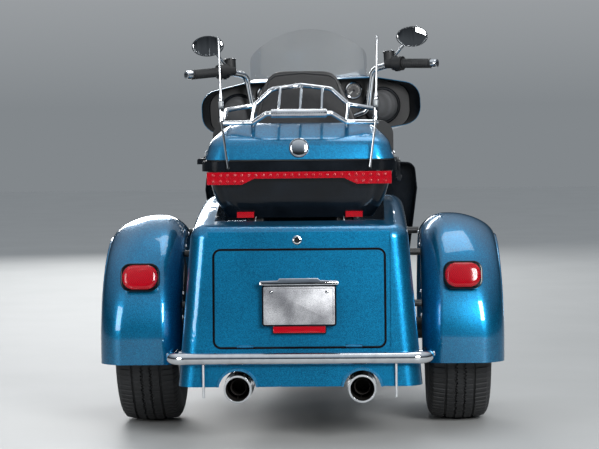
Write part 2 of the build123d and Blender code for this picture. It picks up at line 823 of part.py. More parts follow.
# Top case: each row gives the height, half width, rear and front
case_sections = [
    (case_low, case_half_low, -452, -20),
    (case_crease, 286, -472, 8),
    (case_seam, case_half_high, case_rear, case_front),
]
lid_low = case_seam + running_gap
lid_sections = [(lid_low, 321, -476, 16), (1010, 302, -462, 4), (lid_top, 240, -335, -80)]
case_corner = 62


def case_form(sections, inset, open_end):
    """A rounded box through its sections, drawn in by a wall except at its open end"""
    with BuildPart(mode=Mode.PRIVATE) as form:
        for row, (height, half, rear, front) in enumerate(sections):
            level = height
            if inset and row == 0 and open_end != "foot":
                level = height + inset
            if inset and row == len(sections) - 1 and open_end != "top":
                level = height - inset
            with BuildSketch(Plane.XY.offset(level)):
                with Locations((0, rear_axle_y + (rear + front) / 2)):
                    RectangleRounded(2 * (half - inset), front - rear - 2 * inset, case_corner - inset)
        loft(ruled=True)
    return form.part


rim_drop = 33
rim_out = 6
with BuildPart() as top_case_tub:
    add(case_form(case_sections, 0, "top"))
    with BuildSketch(Plane.XY.offset(case_seam - rim_drop)):
        with Locations((0, rear_axle_y + (case_rear + case_front) / 2)):
            RectangleRounded(
                2 * (case_half_high + rim_out), case_front - case_rear + rim_out, case_corner + rim_out
            )
    extrude(amount=rim_drop)
    add(case_form(case_sections, case_wall, "top"), mode=Mode.SUBTRACT)
with BuildPart() as top_case_lid:
    add(case_form(lid_sections, 0, "foot"))
    add(case_form(lid_sections, case_wall, "foot"), mode=Mode.SUBTRACT)

# The lid's hinge, on the left: knuckles of the lid stand between knuckles of the tub
hinge_height = case_seam + 3
knuckle = 12
for ahead in (-360, -100):
    with BuildPart(mode=Mode.PRIVATE) as lid_knuckle:
        with BuildSketch(Plane(spot(-hinge_out, ahead + 24, hinge_height), x_dir=(1, 0, 0), z_dir=(0, -1, 0))):
            Circle(knuckle / 2)
            with Locations((12, 4)):
                Rectangle(24, 6)
            Circle(2.5, mode=Mode.SUBTRACT)
        extrude(amount=48)
    with BuildPart(mode=Mode.PRIVATE) as tub_knuckle:
        for start in (ahead - 42, ahead + 30):
            with BuildSketch(Plane(spot(-hinge_out, start + 12, hinge_height), x_dir=(1, 0, 0), z_dir=(0, -1, 0))):
                Circle(knuckle / 2)
                with Locations((6, -7)):
                    Rectangle(24, 12)
            extrude(amount=12)
        add(tube([spot(-hinge_out, ahead - 42, hinge_height), spot(-hinge_out, ahead + 42, hinge_height)], 4.4, 0))
    top_case_lid.part += lid_knuckle.part
    top_case_tub.part += tub_knuckle.part
finish(top_case_lid.part, "top_case_lid")
finish(top_case_tub.part, "top_case_tub")

# Carrier between the deck of the trunk and the top case
with BuildPart() as top_case_carrier:
    for x in (-150, 150):
        with BuildSketch(Plane(spot(x, -240, (deck_height + case_low) / 2), x_dir=(1, 0, 0), z_dir=(0, 0, 1))):
            RectangleRounded(60, 380, 10)
        extrude(amount=(case_low - deck_height) / 2, both=True)
    with BuildSketch(Plane(spot(0, -120, (deck_height + case_low) / 2), x_dir=(1, 0, 0), z_dir=(0, 0, 1))):
        Rectangle(300, 60)
    extrude(amount=5, both=True)
finish(top_case_carrier.part, "top_case_carrier")

# Red lamp across the back of the tub, with the two reflectors under it
with BuildPart() as top_case_lamp:
    with BuildSketch(Plane(spot(0, case_rear + 20, 0), x_dir=(1, 0, 0), z_dir=(0, -1, 0))):
        with BuildLine():
            Polyline(
                (-310, 905), (-310, 863), (-192, 863), (-150, 883), (150, 883), (192, 863), (310, 863), (310, 905),
                close=True,
            )
        make_face()
    extrude(amount=44)
    with BuildSketch(Plane(spot(0, case_rear + 40, 0), x_dir=(1, 0, 0), z_dir=(0, -1, 0))):
        with Locations((-183, 760), (183, 760)):
            Rectangle(58, 20)
    extrude(amount=28)
    add(case_form(case_sections, 0, "top"), mode=Mode.SUBTRACT)
    add(top_case_tub.part, mode=Mode.SUBTRACT)
finish(top_case_lamp.part, "top_case_lamp")

# Luggage rack on the lid
rack_tube = 16
rack_bar = 26
with BuildPart() as luggage_rack:
    add(tube([spot(-264, -378, 1068), spot(-158, -410, 1070), spot(-110, -436, 1100),
              spot(110, -436, 1100), spot(158, -410, 1070), spot(264, -378, 1068)], rack_tube, 14))
    add(tube([spot(-94, -436, 1100), spot(94, -436, 1100)], rack_bar, 0))
    add(tube([spot(-264, -150, 1112), spot(-166, -130, 1128), spot(-104, -112, 1184), spot(0, -108, 1198),
              spot(104, -112, 1184), spot(166, -130, 1128), spot(264, -150, 1112)], rack_tube, 30))
    for side in (-1, 1):
        add(tube([spot(side * 262, -380, 1068), spot(side * 262, -150, 1112)], rack_tube, 0))
        add(tube([spot(side * 160, -410, 1070), spot(side * 164, -130, 1128)], rack_tube, 0))
        for ahead, height in ((-350, 1078), (-165, 1120)):
            add(tube([spot(side * 161, ahead, height), spot(side * 161, ahead, 1000)], 14, 0))
    for x in (-74, 0, 74):
        add(tube([spot(x, -436, 1100), spot(x, -300, 1112), spot(x, -110, 1190)], 10, 60))
    add(case_form(lid_sections, 0, "foot"), mode=Mode.SUBTRACT)
finish(luggage_rack.part, "luggage_rack")

# Antennas behind the lid, on the rim of the tub
with BuildPart() as antennas:
    for side in (-1, 1):
        foot = spot(side * 238, case_rear - 14, case_seam - 20)
        collar = spot(side * 258, case_rear - 14, 1073)
        top = spot(side * 260, case_rear - 14, 1155)
        add(tube([foot, collar], 8, 0))
        add(tube([collar, top], 16, 0))
        add(tube([top, spot(side * 265, case_rear - 14, 1357)], 5, 0))
        add(tube([foot, spot(side * 238, case_rear + 2, case_seam - 20)], 10, 0))
    add(top_case_tub.part, mode=Mode.SUBTRACT)
    add(top_case_lamp.part, mode=Mode.SUBTRACT)
finish(antennas.part, "antennas")

# Backrest pad, and the pods beside it
pad_thickness = 70
pad_ahead = case_front + rim_out / 2 + fit_gap
with BuildPart() as backrest_pad:
    with BuildSketch(Plane(spot(0, pad_ahead + pad_thickness, 0), x_dir=(1, 0, 0), z_dir=(0, -1, 0))):
        with BuildLine():
            Polyline((-188, 866), (-188, 1080), (-120, 1248), (120, 1248), (188, 1080), (188, 866), close=True)
        make_face()
        fillet(vertices(), 50)
    extrude(amount=pad_thickness)
    fillet(backrest_pad.edges(), 12)
pod_bracket = case_seam - rim_drop / 2
with BuildPart() as speaker_pods:
    for side in (-1, 1):
        with BuildSketch(Plane(spot(side * 262, 30, 985), x_dir=(1, 0, 0), z_dir=(0, -1, 0))):
            RectangleRounded(126, 170, 50)
        extrude(amount=-120)
        add(tube([spot(side * 262, 23, pod_bracket), spot(side * 262, 80, pod_bracket), spot(side * 262, 80, 960)],
                 24, 20))
    add(top_case_tub.part, mode=Mode.SUBTRACT)
finish(backrest_pad.part, "backrest_pad")
finish(speaker_pods.part, "speaker_pods")


# Engine guard ahead of the rider's feet
with BuildPart() as engine_guard:
    for side in (-1, 1):
        add(tube([spot(side * 90, 1318, 660), spot(side * 375, 1290, 600), spot(side * 375, 1270, 300),
                  spot(side * 135, 1292, 215)], 32, 90))
    add(frame.part, mode=Mode.SUBTRACT)
finish(engine_guard.part, "engine_guard")

# Lower fairings behind the guard
lower_wall = 4
lower_depth = 80
lower_outline = [(175, 470), (175, 845), (260, 895), (430, 885), (440, 780), (400, 470)]
with BuildPart() as lower_fairings:
    for side in (-1, 1):
        with BuildSketch(Plane(spot(0, 1250, 0), x_dir=(1, 0, 0), z_dir=(0, -1, 0))):
            with BuildLine():
                Polyline(*[(side * half, height) for half, height in lower_outline], close=True)
            make_face()
            fillet(vertices(), 36)
        extrude(amount=lower_depth)
        with BuildSketch(Plane(spot(0, 1246, 0), x_dir=(1, 0, 0), z_dir=(0, -1, 0))):
            with BuildLine():
                Polyline(*[(side * half, height) for half, height in lower_outline], close=True)
            make_face()
            fillet(vertices(), 36)
            offset(amount=-lower_wall)
        extrude(amount=lower_depth, mode=Mode.SUBTRACT)
        add(tube([spot(side * 375, 1249, 560), spot(side * 375, 1290, 560)], 24, 0))
    add(engine_guard.part, mode=Mode.SUBTRACT)
finish(lower_fairings.part, "lower_fairings")

# Footboards, with the brake pedal on the right and the gear lever on the left
board_height = 292
lever_route = [(140, 1150, 184), (215, 1150, 200), (262, 1150, 290), (268, 1118, 352)]
board_brackets = [
    # side, then points across the trike and their heights: under the primary case, or over the pipe
    (-1, [(-136, 186), (-222, 190), (-300, 286)]),
    (1, [(136, 190), (160, 264), (300, 284)]),
]
with BuildPart() as footboards:
    for side, bracket in board_brackets:
        with BuildSketch(Plane(spot(side * 305, 960, board_height), x_dir=(0, 1, 0), z_dir=(0, 0, 1))):
            RectangleRounded(320, 125, 40)
        extrude(amount=12)
        for ahead in (870, 1040):
            add(tube([spot(x, ahead, height) for x, height in bracket], 18, 20))
        with BuildSketch(Plane(spot(side * 285, 440, 410), x_dir=(0, 1, 0), z_dir=(0, 0, 1))):
            RectangleRounded(210, 90, 30)
        extrude(amount=10)
        add(tube([spot(side * 130, 478, 400), spot(side * 290, 440, 402)], 18, 0))
        add(tube([spot(side * x, ahead, height) for x, ahead, height in lever_route], 14, 22))
        with BuildSketch(Plane(spot(side * 268, 1118, 352), x_dir=(1, 0, 0), z_dir=(0, -0.5, 0.87))):
            RectangleRounded(78, 34, 12)
        extrude(amount=12)
    add(frame.part, mode=Mode.SUBTRACT)
    add(engine_case.part, mode=Mode.SUBTRACT)
    add(rear_axle.part, mode=Mode.SUBTRACT)
finish(footboards.part, "footboards")

# Painted covers under the cushion
with BuildPart() as side_covers:
    for side in (-1, 1):
        with BuildSketch(side_plane.offset(side * 196)):
            with BuildLine():
                Polyline(
                    (rear_axle_y + 150, 480), (rear_axle_y + 150, 690), (rear_axle_y + 590, 690),
                    (rear_axle_y + 500, 470), close=True,
                )
            make_face()
            fillet(vertices(), 40)
        extrude(amount=side * 14)
        for x, ahead, height in ((150, 260, 655), (130, 478, 560)):
            add(tube([spot(side * x, ahead, height), spot(side * 200, ahead, height)], 14, 0))
    add(frame.part, mode=Mode.SUBTRACT)
    add(shock_absorbers.part, mode=Mode.SUBTRACT)
finish(side_covers.part, "side_covers")

# Steering: everything below is drawn straight ahead and turned when it is written
half_spread = fork_spread / 2
tree_width = 292
tree_depth = 84
top_tree_depth = 100
top_tree_shift = 20
tree_thickness = 30
head_gap = running_gap
steer_up = Vector(0, -sin(radians(rake)), cos(radians(rake)))
low_plane = Plane(spot(0, steering_line(head_low), head_low), x_dir=(1, 0, 0), z_dir=-steer_up).offset(head_gap)
high_plane = Plane(spot(0, steering_line(head_high), head_high), x_dir=(1, 0, 0), z_dir=steer_up).offset(head_gap)
fork_top = 972
slider_top = 570
with BuildPart() as fork:
    for side in (-1, 1):
        x = side * half_spread
        add(tube([spot(x, fork_line(slider_top), slider_top), spot(x, fork_line(fork_top), fork_top)], fork_tube, 0))
        add(tube([spot(x, fork_line(290), 290), spot(x, fork_line(slider_top), slider_top)], fork_slider, 0))
        add(tube([spot(side * (disc_place + disc_thickness + fit_gap), wheelbase, front_tyre_radius),
                  spot(x, wheelbase, front_tyre_radius)], 38, 0))
        add(tube([spot(side * 45, 1285, 955), spot(side * 45, 1222, 1036)], 34, 0))
    with BuildSketch(low_plane):
        RectangleRounded(tree_width, tree_depth, 40)
    extrude(amount=tree_thickness)
    with BuildSketch(high_plane):
        with Locations((0, -top_tree_shift)):
            RectangleRounded(tree_width, top_tree_depth, 40)
    extrude(amount=tree_thickness)
    add(tube([low_plane.origin, high_plane.origin], stem, 0))
    add(tube([spot(-half_spread, wheelbase, front_tyre_radius), spot(half_spread, wheelbase, front_tyre_radius)],
             hub_bore - 2 * fit_gap, 0))

# Front fender
front_fender_radius = 350
front_fender_half = 82
front_fender_skirt = 262
front_fender_wall = 3
front_fender_start = 28
front_fender_sweep = 168


def front_fender_block(inset):
    """The front fender as a full form, drawn in by a wall"""
    angle = radians(front_fender_start)
    start = Plane(front_hub, x_dir=(1, 0, 0), z_dir=(0, -sin(angle), cos(angle)))
    with BuildPart(mode=Mode.PRIVATE) as block:
        with BuildSketch(start):
            with Locations((0, (front_fender_radius + front_fender_skirt) / 2 - inset)):
                Rectangle(2 * (front_fender_half - inset), front_fender_radius - front_fender_skirt)
            fillet(vertices().group_by(Axis.Y)[-1], 48 - inset)
        revolve(axis=Axis(front_hub, (1, 0, 0)), revolution_arc=front_fender_sweep)
    return block.part


with BuildPart() as front_fender:
    add(front_fender_block(0))
    add(front_fender_block(front_fender_wall), mode=Mode.SUBTRACT)
    for side in (-1, 1):
        add(tube([spot(side * 78, fork_line(556), 556), spot(side * half_spread, fork_line(556), 556)], 20, 0))
    add(front_fender_block(front_fender_wall), mode=Mode.SUBTRACT)
    add(fork.part, mode=Mode.SUBTRACT)

# Fairing on the fork: each row gives how far ahead, then half widths and heights of its outline
fairing_sections = [
    # ahead, top half, top, wing half, wing top, wing foot, chin half, chin foot
    (1165, 270, 1232, 455, 1195, 1035, 250, 1010),
    (1330, 230, 1245, 400, 1185, 1030, 190, 950),
    (1490, 110, 1130, 200, 1090, 950, 100, 890),
]
fairing_wall = 4


def fairing_outline(row, inset):
    """One outline of the fairing, drawn in by a wall"""
    ahead, top_half, top, wing_half, wing_top, wing_foot, chin_half, chin_foot = row
    with BuildSketch(mode=Mode.PRIVATE) as outline:
        with BuildLine():
            Polyline(
                (-top_half, top), (top_half, top), (wing_half, wing_top), (wing_half, wing_foot),
                (chin_half, chin_foot), (-chin_half, chin_foot), (-wing_half, wing_foot), (-wing_half, wing_top),
                close=True,
            )
        make_face()
        fillet(vertices(), 34)
        if inset:
            offset(amount=-inset)
    return outline.sketch


def fairing_block(inset):
    """The fairing as a full form"""
    with BuildPart(mode=Mode.PRIVATE) as block:
        for row in fairing_sections:
            ahead = row[0] - inset if row is fairing_sections[-1] else row[0]
            with BuildSketch(Plane(spot(0, ahead, 0), x_dir=(1, 0, 0), z_dir=(0, -1, 0))):
                add(fairing_outline(row, inset))
        loft(ruled=True)
    return block.part


fork_opening = 2 * half_spread + 110
dash_ahead = 1262
dash_thickness = 8
with BuildPart() as fairing_shell:
    add(fairing_block(0))
    add(fairing_block(fairing_wall), mode=Mode.SUBTRACT)
    with BuildSketch(Plane(spot(0, 1290, 900), x_dir=(1, 0, 0), z_dir=(0, 0, 1))):
        Rectangle(fork_opening, 300)
    extrude(amount=128, mode=Mode.SUBTRACT)
with BuildPart() as fairing_dash:
    add(fairing_block(fairing_wall + fit_gap))
    with BuildSketch(Plane(spot(0, dash_ahead + 400, 0), x_dir=(1, 0, 0), z_dir=(0, -1, 0))):
        with Locations((0, 1100)):
            Rectangle(1200, 800)
    extrude(amount=400 - dash_thickness, mode=Mode.SUBTRACT)
    with BuildSketch(Plane(spot(0, dash_ahead, 0), x_dir=(1, 0, 0), z_dir=(0, -1, 0))):
        with Locations((0, 1100)):
            Rectangle(1200, 800)
    extrude(amount=400, mode=Mode.SUBTRACT)
    with BuildSketch(Plane(spot(0, dash_ahead, 0), x_dir=(1, 0, 0), z_dir=(0, -1, 0))):
        with Locations((-80, 1172), (80, 1172)):
            Circle(58)
        with Locations((-185, 1180), (185, 1180)):
            Circle(36)
        with Locations((-300, 1112), (300, 1112)):
            Circle(76)
        with Locations((0, 1075)):
            RectangleRounded(176, 78, 10)
    extrude(amount=12)
    with BuildSketch(Plane(spot(0, 1290, 900), x_dir=(1, 0, 0), z_dir=(0, 0, 1))):
        Rectangle(fork_opening, 300)
    extrude(amount=128, mode=Mode.SUBTRACT)

# Clear windshield on the top of the fairing
shield_radius = 380
shield_wall = 3.5
shield_lean = 22
shield_foot = 1225
shield_top = 1444
shield_shoulder = 1335
shield_half = 243
lean = radians(shield_lean)
shield_plane = Plane(spot(0, 1348, shield_foot), x_dir=(1, 0, 0), z_dir=(0, -sin(lean), cos(lean)))
with BuildPart() as windshield:
    with BuildSketch(shield_plane):
        with Locations((0, -shield_radius)):
            Circle(shield_radius)
            Circle(shield_radius - shield_wall, mode=Mode.SUBTRACT)
        with Locations((0, -shield_radius - 200)):
            Rectangle(1000, shield_radius + 400, mode=Mode.SUBTRACT)
    extrude(amount=300)
    with BuildSketch(Plane(spot(0, 1600, 0), x_dir=(1, 0, 0), z_dir=(0, -1, 0))):
        with BuildLine():
            ThreePointArc((-shield_half, shield_shoulder), (0, shield_top), (shield_half, shield_shoulder))
            Polyline(
                (shield_half, shield_shoulder), (shield_half, shield_foot), (-shield_half, shield_foot),
                (-shield_half, shield_shoulder),
            )
        make_face()
        fillet(vertices().group_by(Axis.Y)[1], 60)
    extrude(amount=600, mode=Mode.INTERSECT)
    add(fairing_block(0), mode=Mode.SUBTRACT)

# Handlebar with its end weights
bar_route = [
    # distance from the middle, how far ahead, height
    (0, 1222, 1046), (95, 1222, 1046), (236, 1198, 1090), (262, 1168, 1262), (345, 1089, 1282), (486, 997, 1273),
]
bar_points = [spot(-x, ahead, height) for x, ahead, height in reversed(bar_route[1:])]
bar_points += [spot(*row) for row in bar_route[1:]]
grip_start = Vector(*spot(*bar_route[-2]))
grip_end = Vector(*spot(*bar_route[-1]))
grip_way = (grip_end - grip_start).normalized()


def along_grip(distance, side):
    """A point on the grip's line, by its distance from the bar's end"""
    point = grip_end - grip_way * distance
    return (side * point.X, point.Y, point.Z)


with BuildPart() as handlebar:
    add(tube(bar_points, bar_tube, 45))
    for side in (-1, 1):
        add(tube([along_grip(0, side), along_grip(-28, side)], 33, 0))
    add(fork.part, mode=Mode.SUBTRACT)
grip_diameter = 37
with BuildPart() as controls:
    for side in (-1, 1):
        add(tube([along_grip(128, side), along_grip(0.1, side)], grip_diameter, 0))
        add(tube([along_grip(172, side), along_grip(129, side)], 58, 0))
        add(tube([along_grip(205, side), along_grip(172, side)], 42, 0))
        outer = Vector(*along_grip(20, side))
        inner = Vector(*along_grip(165, side))
        reach = Vector(0, 62, 6)
        add(tube([inner + Vector(0, 22, 6), inner + reach, outer + reach], 13, 10))
        cup = Vector(*along_grip(190, side))
        add(tube([cup + Vector(0, 8, 8), cup + Vector(0, 14, 44)], 46, 0))
    add(tube(bar_points, bar_tube, 45), mode=Mode.SUBTRACT)

# Mirrors on stems from the controls
mirror_place = (416, 1022, 1386)
mirror_half_width = 65
mirror_half_height = 42
with BuildPart() as mirrors:
    for side in (-1, 1):
        face = Plane(spot(side * mirror_place[0], *mirror_place[1:]), x_dir=(1, 0, 0), z_dir=(0, -1, 0))
        with BuildSketch(face):
            Ellipse(mirror_half_width, mirror_half_height)
        with BuildSketch(face.offset(-34)):
            Ellipse(mirror_half_width * 0.55, mirror_half_height * 0.5)
        loft()
        with BuildSketch(face):
            Ellipse(mirror_half_width - 4, mirror_half_height - 4)
        extrude(amount=-4, mode=Mode.SUBTRACT)
        start = Vector(*along_grip(188, side))
        add(tube([start + Vector(0, 12, 4), spot(side * 372, 1062, 1340),
                  spot(side * (mirror_place[0] - 12), mirror_place[1] + 16, mirror_place[2] - 12)], 11, 12))
        with BuildSketch(face):
            Ellipse(mirror_half_width - 4, mirror_half_height - 4)
        extrude(amount=-4, mode=Mode.SUBTRACT)
    add(controls.part, mode=Mode.SUBTRACT)
    add(handlebar.part, mode=Mode.SUBTRACT)
with BuildPart() as mirror_glasses:
    for side in (-1, 1):
        face = Plane(spot(side * mirror_place[0], *mirror_place[1:]), x_dir=(1, 0, 0), z_dir=(0, -1, 0))
        with BuildSketch(face.offset(-4 + fit_gap)):
            Ellipse(mirror_half_width - 4 - fit_gap, mirror_half_height - 4 - fit_gap)
        extrude(amount=3)

# Lamps on the nose of the fairing
with BuildPart() as front_lamps:
    nose = Plane(spot(0, 1490, 1010), x_dir=(1, 0, 0), z_dir=(0, -1, 0))
    with BuildSketch(nose):
        Circle(90)
    extrude(amount=-28)
    with BuildSketch(nose.offset(-28)):
        Circle(80)
    extrude(amount=-16, taper=22)
    for side in (-1, 1):
        with BuildSketch(Plane(spot(side * 172, 1400, 858), x_dir=(1, 0, 0), z_dir=(0, -1, 0))):
            Circle(56)
        extrude(amount=-64)
        fillet(front_lamps.faces().sort_by(Axis.Z)[0].edges(), 2)
    add(tube([spot(-172, 1412, 858), spot(172, 1412, 858)], 26, 0))
    for x in (-60, 60):
        add(tube([spot(x, 1412, 850), spot(x, 1408, 798)], 20, 0))
    add(fork.part, mode=Mode.SUBTRACT)

# Front brake calipers on the fork
front_side = Plane(front_hub, x_dir=(0, 1, 0), z_dir=(1, 0, 0))
with BuildPart() as front_brakes:
    for side in (-1, 1):
        disc_middle = side * (disc_place + disc_thickness / 2)
        with BuildSketch(front_side.offset(disc_middle - 22)):
            with Locations(Location((-112, 66), 60)):
                RectangleRounded(110, 58, 14)
        extrude(amount=44)
        with BuildSketch(front_side.offset(disc_middle - 4)):
            Circle(disc_radius + 6)
        extrude(amount=8, mode=Mode.SUBTRACT)
        add(tube([spot(side * 70, fork_line(415) - 70, 415), spot(side * half_spread, fork_line(415), 415)], 22, 0))
    add(fork.part, mode=Mode.SUBTRACT)
    add(front_fender.part, mode=Mode.SUBTRACT)

steering = [
    (fork, "fork"), (front_fender, "front_fender"), (fairing_shell, "fairing_shell"), (fairing_dash, "fairing_dash"),
    (windshield, "windshield"), (handlebar, "handlebar"), (controls, "controls"), (mirrors, "mirrors"),
    (mirror_glasses, "mirror_glasses"), (front_lamps, "front_lamps"), (front_brakes, "front_brakes"),
]
for piece, label in steering:
    steer(piece.part, label)
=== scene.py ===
"""The looks of a three-wheeled touring machine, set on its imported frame."""

from math import atan2, cos, pi, radians, sin, tan

import bmesh
import bpy
from mathutils import Matrix, Vector


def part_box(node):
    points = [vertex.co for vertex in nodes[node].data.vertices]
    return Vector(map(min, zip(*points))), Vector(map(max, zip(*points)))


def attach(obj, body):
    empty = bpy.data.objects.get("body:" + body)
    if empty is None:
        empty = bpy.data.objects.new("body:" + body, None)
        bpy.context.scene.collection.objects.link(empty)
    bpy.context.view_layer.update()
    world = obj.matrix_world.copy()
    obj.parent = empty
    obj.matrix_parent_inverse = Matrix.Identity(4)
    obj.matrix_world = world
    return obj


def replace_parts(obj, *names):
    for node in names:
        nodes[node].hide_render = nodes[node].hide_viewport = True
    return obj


bl_info = {
    "name": "Touring trike looks",
    "version": (1, 0, 0),
    "blender": (4, 5, 0),
    "location": "View3D > Sidebar > Trike",
    "description": "Finishes, upholstery, lamps, tread and trim for the packed trike",
    "category": "Object",
}

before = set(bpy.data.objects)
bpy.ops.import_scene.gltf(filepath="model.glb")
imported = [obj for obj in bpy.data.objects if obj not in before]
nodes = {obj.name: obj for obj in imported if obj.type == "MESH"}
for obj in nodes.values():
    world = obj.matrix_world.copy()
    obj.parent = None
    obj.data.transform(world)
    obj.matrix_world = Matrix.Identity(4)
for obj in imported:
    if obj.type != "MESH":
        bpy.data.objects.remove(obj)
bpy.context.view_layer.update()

# The fork, its wheel and the bars stand turned by this much about the steering axis
STEER_TURN = radians(5)
STEER_POINT = Vector((0, 0.690669, 0.87))
STEER_AXIS = Vector((0, -0.438371, 0.898794))
# The rear axle's place along the machine in metres, and its height in millimetres
REAR_AXLE = -0.655
HUB_HEIGHT = 324
SIDES = (("left", -1), ("right", 1))


def mm(value):
    """Millimetres as metres"""
    return value / 1000


def spot(x, ahead, height):
    """A point in metres, given in millimetres by its distance ahead of the rear axle"""
    return Vector((mm(x), REAR_AXLE + mm(ahead), mm(height)))


def mirrored(point, side):
    """The same point on one side of the middle"""
    return Vector((side * point[0], point[1], point[2]))


# Colour and material helpers


def linear(code):
    """An sRGB hex colour as linear red, green, blue and alpha"""
    parts = [int(code[i:i + 2], 16) / 255 for i in (1, 3, 5)]
    return tuple(c / 12.92 if c <= 0.04045 else ((c + 0.055) / 1.055) ** 2.4 for c in parts) + (1.0,)


def put(tree, kind, links=None, values=None, **settings):
    """Adds a node with its settings, input values and links from other nodes' sockets"""
    node = tree.nodes.new(kind)
    for name, value in settings.items():
        setattr(node, name, value)
    for name, value in (values or {}).items():
        node.inputs[name].default_value = value
    for name, socket in (links or {}).items():
        tree.links.new(socket, node.inputs[name])
    return node


def ramp(tree, factor, stops):
    """A colour ramp over a factor, from rows of position and colour"""
    node = put(tree, "ShaderNodeValToRGB", {"Fac": factor})
    while len(node.color_ramp.elements) < len(stops):
        node.color_ramp.elements.new(0.5)
    for element, (position, colour) in zip(node.color_ramp.elements, stops):
        element.position = position
        element.color = linear(colour) if isinstance(colour, str) else (*colour, 1.0)
    return node.outputs["Color"]


class Finish:
    """A material while it is made: textures in object space, and what they drive on its shader"""

    def __init__(self, name):
        self.made = bpy.data.materials.new(name)
        self.made.use_nodes = True
        self.tree = self.made.node_tree
        self.tree.nodes.clear()
        self.shader = put(self.tree, "ShaderNodeBsdfPrincipled")
        put(self.tree, "ShaderNodeOutputMaterial", {"Surface": self.shader.outputs[0]})
        self.place = put(self.tree, "ShaderNodeTexCoord").outputs["Object"]

    def uniform(self, **values):
        """Sets the shader's own values"""
        for name, value in values.items():
            self.shader.inputs[name.replace("_", " ")].default_value = value

    def noise(self, scale, detail=2.0, roughness=0.5, place=None):
        """Cloudy noise from 0 to 1"""
        values = {"Scale": scale, "Detail": detail, "Roughness": roughness}
        return put(self.tree, "ShaderNodeTexNoise", {"Vector": place or self.place}, values).outputs["Fac"]

    def cells(self, scale, randomness=1.0, feature="F1"):
        """The outputs of a field of cells"""
        values = {"Scale": scale, "Randomness": randomness}
        return put(self.tree, "ShaderNodeTexVoronoi", {"Vector": self.place}, values, feature=feature).outputs

    def drive(self, name, socket):
        """Links a socket to one of the shader's inputs"""
        self.tree.links.new(socket, self.shader.inputs[name])

    def colour(self, factor, *stops):
        """Colours the surface by a ramp over a factor"""
        self.drive("Base Color", ramp(self.tree, factor, stops))

    def dull(self, factor, low, high):
        """Takes the roughness from one value to another as a factor goes from 0 to 1"""
        self.drive("Roughness", put(self.tree, "ShaderNodeMapRange", {"Value": factor},
                                    {"To Min": low, "To Max": high}).outputs[0])

    def relief(self, height, strength, distance, under=None):
        """Raises fine relief from a height, over another relief where one is given"""
        links = {"Height": height, "Normal": under} if under else {"Height": height}
        bump = put(self.tree, "ShaderNodeBump", links, {"Strength": strength, "Distance": distance})
        self.drive("Normal", bump.outputs[0])
        return bump.outputs[0]


MATERIALS = {}


def material(maker):
    """A finish's material, made once and named as its function is"""
    name = maker.__name__
    if name not in MATERIALS:
        finish = Finish(name)
        maker(finish)
        MATERIALS[name] = finish.made
    return MATERIALS[name]


def teal_metallic_lacquer(coat):
    """Sprayed metallic base under clear lacquer: flakes sparkle and the hue deepens away from the light"""
    coat.uniform(Metallic=0.85, Coat_Weight=1.0, Coat_Roughness=0.03, Coat_IOR=1.5)
    # Flakes of 0.05 mm are drawn 1.5 mm wide, so that they show
    flake = coat.cells(650)
    tint = ramp(coat.tree, flake["Color"], [(0.0, "#004c74"), (0.55, "#006f9c"), (1.0, "#1294c4")])
    shade = ramp(coat.tree, coat.noise(4, 3), [(0.3, "#dcdcdc"), (0.7, "#ffffff")])
    mixed = put(coat.tree, "ShaderNodeMix", {6: tint, 7: shade}, {0: 1.0}, data_type="RGBA",
                blend_type="MULTIPLY")
    coat.drive("Base Color", mixed.outputs[2])
    coat.dull(flake["Distance"], 0.30, 0.40)
    coat.relief(flake["Distance"], 0.05, 0.0004)


# Also on the top case's tub, which is teal paint in shadow: there this black is painted shade, and the low
# specular level was set to darken it further.
def black_gloss_and_painted_shade(skin):
    """ABS moulded in a polished tool and lacquered: deep black with a faint orange peel in its highlights"""
    skin.uniform(IOR=1.45, Specular_IOR_Level=0.25, Coat_Weight=0.1, Coat_Roughness=0.06)
    dust = skin.noise(9, 5)
    skin.colour(dust, (0.35, "#06090d"), (0.75, "#0d131a"))
    skin.dull(dust, 0.12, 0.3)
    skin.relief(skin.noise(160), 0.08, 0.0006)


def black_grained_plastic(skin):
    """Polypropylene from an etched tool: a dull black with a pebbled grain that greys where it is rubbed"""
    skin.uniform(IOR=1.49)
    rub = skin.noise(14, 6)
    skin.colour(rub, (0.3, "#0b0c0d"), (0.8, "#1a1b1d"))
    skin.dull(rub, 0.45, 0.68)
    # Grain cells of 0.6 mm are drawn 1.6 mm wide
    skin.relief(skin.cells(620)["Distance"], 0.35, 0.0005)


def powder_coated_steel(coat):
    """Steel tube with baked black powder: satin, with a fine orange peel"""
    coat.uniform(IOR=1.5, Coat_Weight=0.15)
    dirt = coat.noise(11, 6)
    coat.colour(dirt, (0.3, "#08090a"), (0.72, "#161718"))
    coat.dull(dirt, 0.32, 0.55)
    coat.relief(coat.noise(420), 0.2, 0.0004)


def polished_chrome(plate):
    """Nickel-chromium plate on polished steel: mirror bright, a little cool, with faint haze from wiping"""
    plate.uniform(Metallic=1.0)
    wipe = plate.noise(30, 8)
    plate.colour(wipe, (0.3, "#c9ccd0"), (0.7, "#dfe2e5"))
    plate.dull(wipe, 0.02, 0.11)


def cast_aluminium(skin):
    """Aluminium from a sand mould, tumbled and clear coated: a satin grey skin with casting grain"""
    skin.uniform(Metallic=1.0)
    stain = skin.noise(18, 5)
    skin.colour(stain, (0.3, "#8d8f92"), (0.75, "#b4b7ba"))
    skin.dull(stain, 0.28, 0.48)
    # Sand grain of 0.4 mm is drawn 2 mm wide
    skin.relief(skin.noise(500, 4), 0.25, 0.0005)


